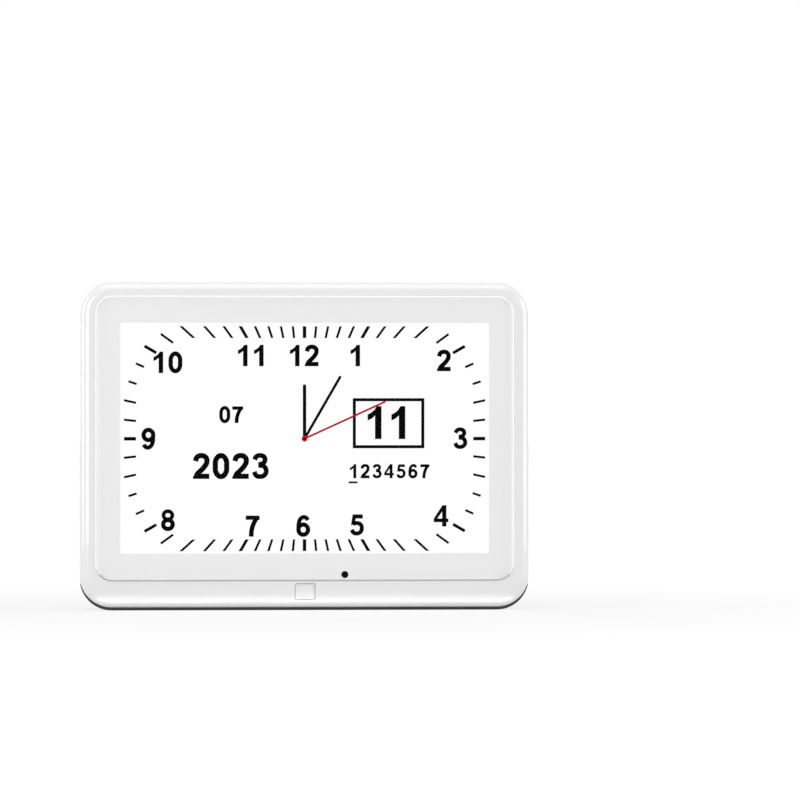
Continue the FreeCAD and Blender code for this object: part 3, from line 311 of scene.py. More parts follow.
def finish(
    name, colour, rough=(0.3, 0.4), shade=0.03, broad=30, fine=3000, grain=0.0, depth=0.02,
    stretch=(1, 1, 1), **fixed,
):
    """A finish that breaks up the light.

    rough is its range of roughness, and shade the share by which its colour strays. broad and fine are
    the scales of its two noises. grain is how strong its relief is and depth how deep, in millimetres.
    stretch scales the noise along each axis, and fixed holds the values of the shader's own sockets.
    """
    tree, surface = blank(name)
    shader = tree.nodes.new("ShaderNodeBsdfPrincipled")
    group = tree.nodes.new("ShaderNodeGroup")
    group.node_tree = BREAK_UP
    values = {
        "Stretch": stretch, "Broad scale": broad, "Fine scale": fine, "Colour": (*colour, 1),
        "Shade": shade, "Rough low": rough[0], "Rough high": rough[1],
    }
    for label, value in values.items():
        group.inputs[label].default_value = value
    link(tree, group.outputs["Colour"], shader.inputs["Base Color"])
    link(tree, group.outputs["Roughness"], shader.inputs["Roughness"])
    if grain:
        bump = tree.nodes.new("ShaderNodeBump")
        bump.inputs["Strength"].default_value = grain
        bump.inputs["Distance"].default_value = depth * MM
        link(tree, group.outputs["Height"], bump.inputs["Height"])
        link(tree, bump.outputs["Normal"], shader.inputs["Normal"])
    for label, value in fixed.items():
        shader.inputs[label.replace("_", " ")].default_value = value
    link(tree, shader.outputs[0], surface)
    return FINISHES[name]


print("finish maker ready")

# %% [markdown]
# ## Plastics and rubber
#
# The front frame is a high gloss moulding, so it has very little grain and a clear coat. The rear
# cover and the leg come from a spark-eroded mould, which leaves a fine, even grain that scatters
# the light. The keys are satin. Rubber is dark, rough and a little dusty.

# %% Finishes for plastics and rubber
finish(
    "case_white", (0.845, 0.845, 0.846), rough=(0.12, 0.16), shade=0.008, broad=14, fine=220, grain=0.05,
    depth=0.01, Coat_Weight=1.0, Coat_Roughness=0.03, Coat_IOR=1.5,
)
finish(
    "cover_white", (0.76, 0.76, 0.755), rough=(0.5, 0.6), shade=0.03, broad=18, fine=3600, grain=0.35,
    depth=0.03, Specular_IOR_Level=0.25,
)
finish(
    "print_white", (0.895, 0.895, 0.895), rough=(0.45, 0.5), shade=0.006, broad=20, fine=2500, grain=0.04,
    depth=0.005,
)
finish(
    "key_grey", (0.72, 0.72, 0.725), rough=(0.32, 0.4), shade=0.02, broad=60, fine=4200, grain=0.12,
    depth=0.01,
)
finish(
    "part_black", (0.012, 0.012, 0.012), rough=(0.35, 0.5), shade=0.2, broad=80, fine=5000, grain=0.15,
    depth=0.01,
)
finish("plunger_black", (0.03, 0.03, 0.03), rough=(0.3, 0.45), shade=0.2, broad=90, fine=5000, grain=0.1)
finish(
    "rubber_black", (0.03, 0.03, 0.031), rough=(0.6, 0.8), shade=0.25, broad=70, fine=2600, grain=0.3,
    depth=0.03,
)
finish("adhesive", (0.09, 0.09, 0.09), rough=(0.7, 0.9), shade=0.2, fine=1800, grain=0.4, depth=0.05)
finish("foam", (0.06, 0.06, 0.06), rough=(0.85, 0.95), shade=0.3, fine=1500, grain=0.8, depth=0.1)
finish("connector_white", (0.78, 0.76, 0.7), rough=(0.35, 0.5), shade=0.05, fine=2600, grain=0.1)
finish("nylon", (0.8, 0.78, 0.72), rough=(0.35, 0.45), shade=0.05, fine=2200, grain=0.1)
finish("guide_acrylic", (0.88, 0.89, 0.9), rough=(0.25, 0.35), shade=0.02, fine=1400, grain=0.05)
print(len(FINISHES), "plastic and rubber finishes")

# %% [markdown]
# ## Metals, boards, paper and wires
#
# Sheet metal shows a faint brushing along one direction, so its noise is stretched. Turned brass and
# plated screws are smoother. The printed boards are green lacquer over copper, the cone is felted
# paper, and the wires are soft plastic.

# %% Metals and the other inner finishes
BRUSHED = (0.05, 1, 1)  # draws the noise out along x


def metal(name, colour, rough, stretch=(1, 1, 1)):
    """A bare or plated metal."""
    finish(
        name, colour, rough=rough, shade=0.06, broad=60, fine=1800, grain=0.08, depth=0.01, stretch=stretch,
        Metallic=1.0,
    )


metal("tinned_steel", (0.7, 0.7, 0.7), (0.28, 0.4), BRUSHED)
metal("tray_metal", (0.78, 0.78, 0.79), (0.3, 0.42), BRUSHED)
metal("brass", (0.72, 0.52, 0.22), (0.22, 0.34))
metal("screw_steel", (0.56, 0.56, 0.57), (0.22, 0.36))
metal("magnet", (0.34, 0.34, 0.35), (0.3, 0.4))
finish("basket", (0.05, 0.05, 0.05), rough=(0.4, 0.55), shade=0.2, fine=2400, grain=0.2)
finish(
    "cone_paper", (0.05, 0.05, 0.052), rough=(0.8, 0.95), shade=0.35, broad=300, fine=2600, grain=0.6,
    depth=0.06,
)
finish(
    "board_green", (0.02, 0.16, 0.07), rough=(0.25, 0.4), shade=0.25, broad=260, fine=1400, grain=0.15,
    depth=0.03,
)
finish("board_white", (0.82, 0.82, 0.8), rough=(0.4, 0.5), fine=2000, grain=0.1)
finish("film_amber", (0.5, 0.24, 0.05), rough=(0.25, 0.35), shade=0.15, fine=1500, grain=0.1)
finish("wire_red", (0.5, 0.03, 0.025), rough=(0.35, 0.5), shade=0.12, fine=2600, grain=0.1)
print(len(FINISHES), "finishes so far")

# %% [markdown]
# ## The receiver window
#
# The small square in the chin lets the remote control's infrared through. It is milky acrylic, so
# light goes into it a little way and comes back softer than from the case.

# %% The milky window
finish(
    "window_milk", (0.885, 0.885, 0.882), rough=(0.18, 0.24), shade=0.01, broad=120, fine=1800, grain=0.03,
    depth=0.01, Subsurface_Weight=0.25, Subsurface_Scale=0.0015, IOR=1.49,
)
print("receiver window finish")

# %% [markdown]
# ## The lit screen
#
# The screen gives off its own light, so its white doesn't depend on the room. It is even, with only
# the faint, broad clouds that the lamps behind a screen leave in its light.

# %% The screen's white
BACKLIGHT = 0.99  # how bright the white is
CLOUD = 0.975  # what the darkest cloud leaves of it


def make_screen():
    """A dark panel with a slight sheen that gives off white light."""
    tree, surface = blank("screen_white")
    shader = tree.nodes.new("ShaderNodeBsdfPrincipled")
    shader.inputs["Base Color"].default_value = (0.02, 0.02, 0.022, 1)
    shader.inputs["Specular IOR Level"].default_value = 0.1
    shader.inputs["Emission Strength"].default_value = BACKLIGHT
    where = own_place(tree)
    clouds = noise(tree, where, scale=9, detail=2)
    link(tree, grey(tree, spread(tree, clouds, CLOUD, 1.0)), shader.inputs["Emission Color"])
    sheen = noise(tree, where, scale=4000, detail=1)
    link(tree, spread(tree, sheen, 0.3, 0.4), shader.inputs["Roughness"])
    link(tree, shader.outputs[0], surface)


make_screen()
print("screen finish")

# %% [markdown]
# ## Clear glass and its ground rim
#
# The pane is thin and flat, so it hardly bends what is seen through it: a transparent shader with a
# weak mirror on top is enough, and it lets the lamps through to the print behind it. The real pane
# is coated against reflections, which is why the mirror is weak. The slanted rim of its front is
# ground and whitish, with a painted highlight: it gives off a weak light of its own. Along the
# bottom, where the rim faces the table, it takes a darker grey instead, which is painted shade.

# %% The pane and the rim
COATED_IOR = 1.1  # far below that of bare glass, so that the pane mirrors little


def make_pane():
    """A coated clear pane: see-through, with a reflection that grows towards grazing angles."""
    tree, surface = blank("clear_glass")
    through = tree.nodes.new("ShaderNodeBsdfTransparent")
    through.inputs["Color"].default_value = (0.998, 0.999, 0.998, 1)
    mirror = tree.nodes.new("ShaderNodeBsdfGlossy")
    smear = noise(tree, own_place(tree), scale=25, detail=3)
    link(tree, spread(tree, smear, 0.01, 0.05), mirror.inputs["Roughness"])
    share = tree.nodes.new("ShaderNodeFresnel")
    share.inputs["IOR"].default_value = COATED_IOR
    side = tree.nodes.new("ShaderNodeNewGeometry")
    entering = maths(tree, "SUBTRACT", 1.0, side.outputs["Backfacing"])
    once = maths(tree, "MULTIPLY", share.outputs[0], entering)
    link(tree, mixed(tree, once, through.outputs[0], mirror.outputs[0]), surface)


make_pane()
# the ground rim gives off a little light of its own, a painted highlight over its whitish colour
finish(
    "ground_edge", (0.93, 0.935, 0.935), rough=(0.2, 0.3), shade=0.02, broad=90, fine=2200, grain=0.1,
    Alpha=0.85, Emission_Color=(1, 1, 1, 1), Emission_Strength=0.27,
)
# the rim where it faces the table is a darker grey: painted shade
finish("lower_edge", (0.5, 0.505, 0.505), rough=(0.4, 0.6), shade=0.1, broad=90, fine=2200, grain=0.2)
print("glass finishes")

# %% [markdown]
# ## The print behind the glass
#
# The print is given a weak glow along its edge, a painted light that makes it a little brighter
# where the walls round the glass shade it. The material measures how far a point is from the
# nearest side of the glass, and turns that into a weak glow.

# %% Paint light on the print's rim
PAINTED_RIM_LIGHT = 0.065  # how bright the glow is where it is strongest
RIM_NEAR = 0.4  # millimetres from the side of the glass to where the glow begins to fade
RIM_FAR = 2.8  # and to where it is gone


def paint_light_on_print_rim(material, low, high):
    """Paints light on a print: a glow along the four sides of the box between two corners."""
    tree = material.node_tree
    axes = tree.nodes.new("ShaderNodeSeparateXYZ")
    link(tree, own_place(tree), axes.inputs[0])
    gaps = []
    for label, start, end in (("X", low.x, high.x), ("Z", low.z, high.z)):
        off = maths(tree, "SUBTRACT", axes.outputs[label], (start + end) / 2)
        gaps.append(maths(tree, "SUBTRACT", (end - start) / 2, maths(tree, "ABSOLUTE", off)))
    nearest = maths(tree, "MINIMUM", *gaps)
    # painted light: strongest near the sides of the glass, gone a few millimetres in
    painted_light = spread(tree, nearest, PAINTED_RIM_LIGHT, 0.0, start=RIM_NEAR * MM, end=RIM_FAR * MM)
    shader = next(node for node in tree.nodes if node.type == "BSDF_PRINCIPLED")
    shader.inputs["Emission Strength"].default_value = 1.0
    link(tree, grey(tree, painted_light), shader.inputs["Emission Color"])


# the print gets its painted light along the sides of the glass
paint_light_on_print_rim(FINISHES["print_white"], *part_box("cover_glass"))
print("rim lit from", RIM_NEAR, "to", RIM_FAR, "mm")

# %% [markdown]
# ## Dressing the measured pieces
#
# Each measured piece names the finish that it takes, so one loop gives every piece its material.
# Only the light sensor is dressed apart: the lens that shows as a dot is blacker than the other
# black parts.

# %% Give every measured piece its finish
def dress(piece, material):
    """Puts a material in each slot of a measured piece."""
    for slot in piece.material_slots:
        slot.material = material


bare = []
for part in frame["record"]["subparts"]:
    if part["material_slot"] in FINISHES:
        dress(nodes[part["node"]], FINISHES[part["material_slot"]])
    else:
        bare.append(part["node"])
print("pieces without a finish:", bare)

lens_black = finish(
    "lens_black", (0.001, 0.001, 0.001), rough=(0.3, 0.5), shade=0.3, broad=120, fine=4000,
    Specular_IOR_Level=0.05,
)
dress(nodes["light_sensor"], lens_black)

# %% [markdown]
# ## Picking edges in code
#
# By hand, edges are clicked before a bevel. In code they are picked by where their two ends lie. A
# mesh takes such a selection only outside edit mode, and the bevel needs edit mode on.

# %% Select edges by their place
def pick_edges(piece, wanted):
    """Selects the edges for which wanted(one end, other end) is true, and leaves edit mode on."""
    only(piece)
    bpy.ops.object.mode_set(mode="EDIT")
    bpy.ops.mesh.select_mode(type="EDGE")
    bpy.ops.mesh.select_all(action="DESELECT")
    bpy.ops.object.mode_set(mode="OBJECT")
    points = piece.data.vertices
    for edge in piece.data.edges:
        a, b = (points[i].co for i in edge.vertices)
        edge.select = wanted(a, b)
    bpy.ops.object.mode_set(mode="EDIT")


print("edge picker ready")

# %% [markdown]
# ## The glass
#
# The pane starts as a cube at its true size. Its four corners, as seen from the front, are rounded,
# then the rim of its front face is ground off at an angle. The flat faces and the rest of the edge
# are clear, and only the slanted rim is ground.

# %% Model the glass
CORNER_RADIUS = 8.0  # millimetres
RIM_WIDTH = 0.5
PRINT_GAP = 0.02  # a hair between the glass and the print behind it
SAME_PLACE = 0.01  # what lies closer than this counts as one place
GLASS_FINISHES = ("clear_glass", "ground_edge", "lower_edge")


def finish_of(face):
    """Which of the glass's finishes a face takes. Slanted faces that look down take the painted shade."""
    slanted = 0.1 < abs(face.normal.y) < 0.999
    # slanted faces that look down get the darker, painted shade finish
    looks_down = face.normal.z < -0.25
    if not slanted:
        return "clear_glass"
    return "lower_edge" if looks_down else "ground_edge"


def make_glass():
    """The pane that stands a little proud of the frame."""
    low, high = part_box("cover_glass")
    high = high - Vector((0, PRINT_GAP * MM, 0))
    bpy.ops.object.select_all(action="DESELECT")
    bpy.ops.mesh.primitive_cube_add(size=1, location=(low + high) / 2)
    pane = bpy.context.object
    pane.scale = high - low
    settle(pane)
    pick_edges(pane, lambda a, b: abs(a.y - b.y) > SAME_PLACE * MM)
    bpy.ops.mesh.bevel(offset=CORNER_RADIUS * MM, segments=16, affect="EDGES", clamp_overlap=False)
    bpy.ops.object.mode_set(mode="OBJECT")
    pick_edges(pane, lambda a, b: max(a.y, b.y) < low.y + SAME_PLACE * MM)
    bpy.ops.mesh.bevel(offset=RIM_WIDTH * MM, segments=2, affect="EDGES", clamp_overlap=False)
    bpy.ops.object.mode_set(mode="OBJECT")
    for name in GLASS_FINISHES:
        pane.data.materials.append(FINISHES[name])
    for face in pane.data.polygons:
        face.material_index = GLASS_FINISHES.index(finish_of(face))
    only(pane)
    bpy.ops.object.shade_smooth_by_angle(angle=math.radians(20))
    return welded([pane], "front_glass")


front_glass = make_glass()
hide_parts("cover_glass")
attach(front_glass, "case")
print(front_glass.name, len(front_glass.data.polygons), "faces")

# %% [markdown]
# ## A pen for drawing signs
#
# The marks on the screen and on the keys are drawn with a pen: a curve through a few points is
# raised into a thin wall, and the Solidify modifier makes the wall as wide as the pen. This keeps a
# steady pen width round every bend, as in plain bold numbers. Marks with straight sides are cut as
# flat shapes instead.

# %% The pen
INK = 0.04  # millimetres of thickness of a drawn mark
CORNER = "VECTOR"
BEND = "AUTO"
BEND_STEPS = 6  # straight pieces between two points of a bent stroke


def flat_curve(fill, depth):
    """A curve in one plane that is raised to a depth in millimetres."""
    bpy.ops.object.select_all(action="DESELECT")
    bpy.ops.curve.primitive_bezier_curve_add(location=(0, 0, 0))
    curve = bpy.context.object
    curve.data.dimensions = "2D"
    curve.data.fill_mode = fill
    curve.data.extrude = depth / 2 * MM
    return curve


def meshed(curve):
    """The mesh that a curve turns into."""
    only(curve)
    bpy.ops.object.convert(target="MESH")
    return bpy.context.object


def laid(shape, depth):
    """Lays a shape, which has its middle in the sheet, on top of it."""
    shape.data.transform(Matrix.Translation((0, 0, depth / 2 * MM)))
    return outward(shape)


def pen_stroke(points, pen, depth, closed=False, kind=BEND):
    """A stroke through flat (x, y) points in millimetres. It lies on the sheet and is depth thick."""
    line = flat_curve("NONE", depth)
    line.data.resolution_u = BEND_STEPS if kind == BEND else 1
    spline = line.data.splines[0]
    spline.bezier_points.add(len(points) - 2)
    for knot, (x, y) in zip(spline.bezier_points, points):
        knot.co = (x * MM, y * MM, 0)
        knot.handle_left_type = kind
        knot.handle_right_type = kind
    spline.use_cyclic_u = closed
    wall = meshed(line)
    body = wall.modifiers.new("width", "SOLIDIFY")
    body.thickness = pen * MM
    body.offset = 0
    body.use_even_offset = True
    apply_all(wall)
    return laid(wall, depth)


def flat_shape(loops, depth):
    """A flat shape with straight sides. The first loop is its outline and the others are holes."""
    sheet = flat_curve("BOTH", depth)
    sheet.data.splines.clear()
    for loop in loops:
        spline = sheet.data.splines.new("POLY")
        spline.points.add(len(loop) - 1)
        for knot, (x, y) in zip(spline.points, loop):
            knot.co = (x * MM, y * MM, 0, 1)
        spline.use_cyclic_u = True
    return laid(meshed(sheet), depth)


print("pen ready, marks are", INK, "mm thick")

# %% [markdown]
# ## Round strokes, crossing strokes and ink
#
# A round stroke needs points on a circle. Strokes that cross would leave walls inside each other, so
# a Boolean joins them into one solid. Every finished mark then takes a single material.

# %% Arcs, joins and ink
def arc(radius, start=0, end=315, count=8):
    """Points on a circle, clockwise from the top, between two angles in degrees."""
    turns = [math.radians(start + (end - start) * k / (count - 1)) for k in range(count)]
    return [(radius * math.sin(a), radius * math.cos(a)) for a in turns]


def fused(strokes, name):
    """One solid from strokes that cross."""
    whole = strokes[0]
    for stroke in strokes[1:]:
        union = whole.modifiers.new("join", "BOOLEAN")
        union.operation = "UNION"
        union.solver = "EXACT"
        union.object = stroke
        apply_all(whole)
        bpy.data.objects.remove(stroke)
    whole.name = name
    return outward(whole)


def inked(piece, material):
    """Gives a drawn piece its one material."""
    piece.data.materials.clear()
    piece.data.materials.append(material)
    for face in piece.data.polygons:
        face.material_index = 0


print("an arc has", len(arc(1)), "points unless it is told otherwise")

# %% [markdown]
# ## Ten bold digits
#
# Every digit is drawn once, from a few strokes of a pen a bit over a fifth of the height. Its points
# are written for a height of one, up from its lower left corner. A six turned upside down is a nine.

# %% The strokes of the digits
PEN = 0.208  # width of the pen as a share of the height
DIGIT_WIDTH = 0.65  # width of most digits, in the same way
ODD_WIDTHS = {"1": 0.45, "4": 0.685}
DRAWN_HEIGHT = 10.0  # the height at which the digits are drawn, in millimetres


def digit_strokes(digit, scale):
    """The strokes of one digit, scale millimetres high."""

    def pen(points, width=PEN, closed=False):
        return pen_stroke([(x * scale, y * scale) for x, y in points], width * scale, INK, closed)

    def shape(*loops):
        return flat_shape([[(x * scale, y * scale) for x, y in loop] for loop in loops], INK)

    def ring(middle_x, middle_y, half_width, half_height, width=PEN):
        points = [(middle_x + half_width * x, middle_y + half_height * y) for x, y in arc(1)]
        return pen(points, width, closed=True)

    if digit == "0":
        side = [(0.325, 0.907), (0.49, 0.8), (0.545, 0.5), (0.49, 0.2)]
        other = [(DIGIT_WIDTH - x, 1 - y) for x, y in side]
        return [pen(side + other, closed=True)]
    if digit == "1":
        stem = [(0.46, 0), (0.46, 1), (0.3, 1)]
        flag = [(0.22, 0.88), (0.1, 0.79), (0, 0.75), (0, 0.56), (0.14, 0.62), (0.245, 0.71)]
        return [shape(stem + flag + [(0.245, 0)])]
    if digit == "2":
        sweep = [(0.1, 0.69), (0.155, 0.84), (0.32, 0.908), (0.49, 0.845), (0.54, 0.69), (0.46, 0.5)]
        foot = [(0.0, 0), (0.635, 0), (0.635, 0.205), (0.1, 0.205), (0.0, 0.1)]
        return [pen(sweep + [(0.31, 0.33), (0.17, 0.19), (0.13, 0.11)]), shape(foot)]
    if digit == "3":
        upper = [(0.1, 0.745), (0.17, 0.87), (0.32, 0.912), (0.46, 0.86), (0.5, 0.745)]
        upper += [(0.43, 0.61), (0.26, 0.56)]
        lower = [(0.26, 0.525), (0.46, 0.485), (0.545, 0.31), (0.48, 0.15), (0.31, 0.09)]
        lower += [(0.155, 0.14), (0.09, 0.28)]
        bridge = [(0.24, 0.455), (0.4, 0.455), (0.4, 0.63), (0.24, 0.63)]
        return [pen(upper, 0.19), pen(lower, 0.19), shape(bridge)]
    if digit == "4":
        top = [(0, 0.205), (0, 0.375), (0.39, 1), (0.57, 1), (0.57, 0.375), (0.66, 0.375), (0.66, 0.205)]
        foot = [(0.57, 0.205), (0.57, 0), (0.375, 0), (0.375, 0.205)]
        window = [(0.375, 0.375), (0.375, 0.7), (0.165, 0.375)]
        return [shape(top + foot, window)]
    if digit == "5":
        bowl = [(0.13, 0.51), (0.21, 0.565), (0.33, 0.58), (0.49, 0.51), (0.545, 0.34), (0.48, 0.16)]
        flag = [(0.125, 0.985), (0.595, 0.985), (0.595, 0.79), (0.262, 0.79), (0.22, 0.53), (0.04, 0.47)]
        return [pen(bowl + [(0.31, 0.09), (0.155, 0.14), (0.09, 0.275)], 0.195), shape(flag)]
    if digit in "69":
        tail = [(0.1, 0.34), (0.115, 0.62), (0.2, 0.83), (0.345, 0.91), (0.48, 0.865), (0.535, 0.76)]
        strokes = [ring(0.325, 0.325, 0.225, 0.235), pen(tail, 0.2)]
        if digit == "9":
            back_in_place = Matrix.Translation((DIGIT_WIDTH * scale * MM, scale * MM, 0))
            for stroke in strokes:
                stroke.data.transform(back_in_place @ Matrix.Rotation(math.pi, 4, "Z"))
        return strokes
    if digit == "7":
        leg = [(0.5, 0.88), (0.38, 0.64), (0.29, 0.34), (0.262, 0)]
        bar = [(0.035, 0.785), (0.62, 0.785), (0.62, 0.93), (0.595, 0.985), (0.035, 0.985)]
        return [pen(leg, 0.2), shape(bar)]
    return [ring(0.325, 0.725, 0.207, 0.187, 0.18), ring(0.325, 0.295, 0.222, 0.207)]


def width_of(mark):
    """Width of a digit as a share of its height."""
    return ODD_WIDTHS.get(mark, DIGIT_WIDTH)


print("a one is", width_of("1"), "of its height wide, and a two is", width_of("2"))

# %% [markdown]
# ## The digits as templates
#
# The strokes of each digit are joined into one solid. It is then stretched to its exact width, with
# its left side at zero, so that a row of digits can be spaced by their widths alone. These ten are
# templates: the dial uses copies of them at the heights it needs.

# %% Draw the ten digits
digits = {}
for mark in "0123456789":
    digit = fused(digit_strokes(mark, DRAWN_HEIGHT), "digit_" + mark)
    across = [point.co.x for point in digit.data.vertices]
    stretch = width_of(mark) * DRAWN_HEIGHT * MM / (max(across) - min(across))
    digit.data.transform(Matrix.Diagonal((stretch, 1, 1, 1)) @ Matrix.Translation((-min(across), 0, 0)))
    digits[mark] = digit
print("digits drawn, faces:", {m: len(d.data.polygons) for m, d in digits.items()})

# %% [markdown]
# ## The dial's ink
#
# On the screen the marks are black and the second hand is red. They hardly reflect the room. Marks
# that cross each other lie in layers, each a hair above the one below it.

# %% Black and red marks
def dial_ink(name, colour, shade=0.05):
    """The finish of a drawn mark."""
    return finish(name, colour, rough=(0.6, 0.8), shade=shade, broad=60, fine=4000, Specular_IOR_Level=0.02)


dial_black = dial_ink("dial_black", (0.0012, 0.0012, 0.0012), shade=0.3)
dial_red = dial_ink("dial_red", (0.82, 0.006, 0.012))
hand_red = dial_ink("hand_red", (0.5, 0.006, 0.022))

screen_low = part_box("lcd_cell")[0]
SCREEN_Y = screen_low.y / MM
LAYER = 0.05  # millimetres from one layer of marks to the next
MID_X = -0.2  # where the hands turn, in millimetres
MID_Z = 80.05


def on_screen(x, z, layer=0):
    """The place of a mark on the screen: x from the case's middle, z from the dial's, in millimetres."""
    return on_front(x, SCREEN_Y - layer * LAYER, MID_Z + z)


def on_dial(pieces, name, material):
    """Joins drawn marks, gives them their ink and lets them ride on the case."""
    piece = outward(welded(pieces, name))
    inked(piece, material)
    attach(piece, "case")


print("marks lie at y", round(SCREEN_Y, 2))

# %% [markdown]
# ## Minute and hour ticks
#
# The sixty ticks point at the middle of the dial and end on two rectangles, so each is cut off along
# the side it ends on. Near the corners the rectangles run away from the numbers, so there the ticks
# are pulled in and cut off square.

# %% Draw the ticks
OUTER = (84.35, 52.45)  # half the width and half the height of the outer rectangle, in millimetres
INNER = (78.75, 46.95)
PULLED_IN = {9: (76.0, 83.1), 10: (80.0, 86.4), 11: (82.1, 86.3), 12: (82.5, 86.5)}
ROW = 9  # ticks fewer than this many steps from the top or the bottom one end on a level side
ROW_SQUEEZE = 0.99  # these ticks stand a little closer together than their angles say
QUARTER_WIDTH, HOUR_WIDTH, MINUTE_WIDTH = 1.65, 1.45, 1.08


def reach(angle, half_size):
    """How far a ray from the middle runs before it meets a rectangle."""
    across = abs(math.sin(angle)) / half_size[0]
    along = abs(math.cos(angle)) / half_size[1]
    return 1 / max(across, along)


def tick(k):
    """Tick number k, clockwise from the top."""
    angle = math.radians(6 * k)
    x, y = math.sin(angle), math.cos(angle)
    steps = min(k % 30, 30 - k % 30)  # from the nearer of the top tick and the bottom one
    inner, outer = PULLED_IN.get(steps, (reach(angle, INNER), reach(angle, OUTER)))
    width = QUARTER_WIDTH if k % 15 == 0 else HOUR_WIDTH if k % 5 == 0 else MINUTE_WIDTH
    if steps in PULLED_IN:
        cut = (y * width / 2, -x * width / 2)
    elif steps < ROW:
        cut = (width / 2 / y, 0)
    else:
        cut = (0, -width / 2 / x)
    squeeze, push = (ROW_SQUEEZE, MID_X) if steps < ROW else (1, 0)
    near, far = ((x * r * squeeze + push, y * r) for r in (inner, outer))
    corners = zip((near, far, far, near), (-1, -1, 1, 1))
    return flat_shape([[(p + side * cut[0], q + side * cut[1]) for (p, q), side in corners]], INK)


for name, wanted in (("hour_ticks", True), ("minute_ticks", False)):
    drawn = [tick(k) for k in range(60) if (k % 5 == 0) == wanted]
    sheet = welded(drawn, name)
    settle(sheet, on_screen(0, 0))
    on_dial([sheet], name, dial_black)
    print(name, len(drawn))

# %% [markdown]
# ## Setting numbers
#
# A number is set like type: each digit follows the one before after a gap, which is wider beside a
# one because a one is narrow. The finished number is centred on its place.

# %% Set numbers in place
GAP = 0.115  # the gap between two digits as a share of their height
AFTER_ONE = 0.13  # what a one adds to the gap after it
BEFORE_ONE = 0.055  # and to the one before it


def gap(mark, following):
    """The gap between two digits: a one has more room on both sides."""
    return GAP + AFTER_ONE * (mark == "1") + BEFORE_ONE * (following == "1")


def number(text, height, x, z, name, pitch=None, wide=1.0):
    """The digits of a number, centred on x and z. A pitch sets them at equal steps instead."""
    gaps = [gap(mark, following) for mark, following in zip(text, text[1:])] + [0]
    left = -(sum(width_of(m) for m in text) * wide + sum(gaps)) / 2 * height
    size = height / DRAWN_HEIGHT
    pieces = []
    for i, mark in enumerate(text):
        twin = copy_of(digits[mark], name)
        shift = left if pitch is None else (i - (len(text) - 1) / 2) * pitch - width_of(mark) * height / 2
        twin.data.transform(Matrix.Diagonal((size * wide, size, 1, 1)))
        twin.data.transform(Matrix.Translation((shift * MM, -height / 2 * MM, 0)))
        settle(twin, on_screen(x, z))
        pieces.append(twin)
        left += (width_of(mark) * wide + gaps[i]) * height
    return pieces


twelve = width_of("1") + gap("1", "2") + width_of("2")
print("a 12 is", round(twelve * DRAWN_HEIGHT, 1), "mm wide at", DRAWN_HEIGHT, "mm")

# %% [markdown]
# ## Hours and date
#
# The twelve hours stand inside the ticks. The day stands in a box at the right, and the month and
# the year at the left are plain numbers too. The day of the week is a row of seven numbers with a
# bar under the one that counts.

# %% Set the dial's numbers
HOUR_HEIGHT = 10.0
HOURS = {
    "12": (-0.3, 38.8), "1": (23.5, 38.8), "2": (65.0, 36.5), "3": (72.7, 0.2), "4": (63.7, -36.1),
    "5": (24.3, -40.2), "6": (-0.8, -40.7), "7": (-24.4, -40.7), "8": (-63.9, -37.9), "9": (-73.0, 0),
    "10": (-63.9, 35.6), "11": (-25.3, 38.8),
}
hour_marks = []
for text, (x, z) in HOURS.items():
    hour_marks += number(text, HOUR_HEIGHT, x, z, "hour")
on_dial(hour_marks, "hour_numbers", dial_black)

day = number("11", height=15.4, x=38.1, z=7.5, name="day", wide=0.94)
on_dial(day, "day_number", dial_black)
month = number("07", height=7.9, x=-34.4, z=11.25, name="month")
on_dial(month, "month_number", dial_black)
year = number("2023", height=12.0, x=-34.6, z=-12.75, name="year")
on_dial(year, "year_number", dial_black)
week = number("1234567", height=6.6, x=39.3, z=-15.2, name="week", pitch=5.6)
on_dial(week, "week_numbers", dial_black)
for template in digits.values():
    bpy.data.objects.remove(template)
print("dial numbers set")

# %% [markdown]
# ## The day's box and the weekday's bar
#
# Both are ruled lines, so their strokes have sharp corners. The box is given by its outer sides,
# and the pen runs half a line inside them.

# %% Rule the box and the bar
BOX_LINE = 1.45
BOX_SIDES = (22.35, 55.85, -4.5, 18.9)  # left, right, lower and upper side, from the middle of the dial
BAR_LINE = 0.9
BAR = [(20.4, -20.4), (24.6, -20.4)]


def ruled_box(left, right, lower, upper, line):
    """A ruled frame between four outer sides."""
    left, right = left + line / 2, right - line / 2
    lower, upper = lower + line / 2, upper - line / 2
    corners = [(left, lower), (right, lower), (right, upper), (left, upper)]
    return pen_stroke(corners, line, INK, closed=True, kind=CORNER)


day_box = ruled_box(*BOX_SIDES, BOX_LINE)
settle(day_box, on_screen(0, 0))
on_dial([day_box], "day_box", dial_black)
week_bar = pen_stroke(BAR, BAR_LINE, INK, kind=CORNER)
settle(week_bar, on_screen(0, 0))
on_dial([week_bar], "week_bar", dial_black)
print("box and bar ruled")

# %% [markdown]
# ## Hands
#
# The hands are drawn marks too. Each lies a layer above the one below it, so that the red one
# crosses the box and the black ones, and the round red cap is on top.

# %% Draw the hands
def hand(name, degrees, length, width, layer, material):
    """A straight hand with a round end, at an angle clockwise from twelve."""
    half = width / 2
    turns = [math.radians(22.5 * k) for k in range(9)]
    tip = [(-half * math.cos(a), length - half + half * math.sin(a)) for a in turns]
    bar = flat_shape([[(half, 0), (-half, 0)] + tip], INK)
    bar.data.transform(Matrix.Rotation(-math.radians(degrees), 4, "Z"))
    settle(bar, on_screen(MID_X, 0, layer))
    on_dial([bar], name, material)


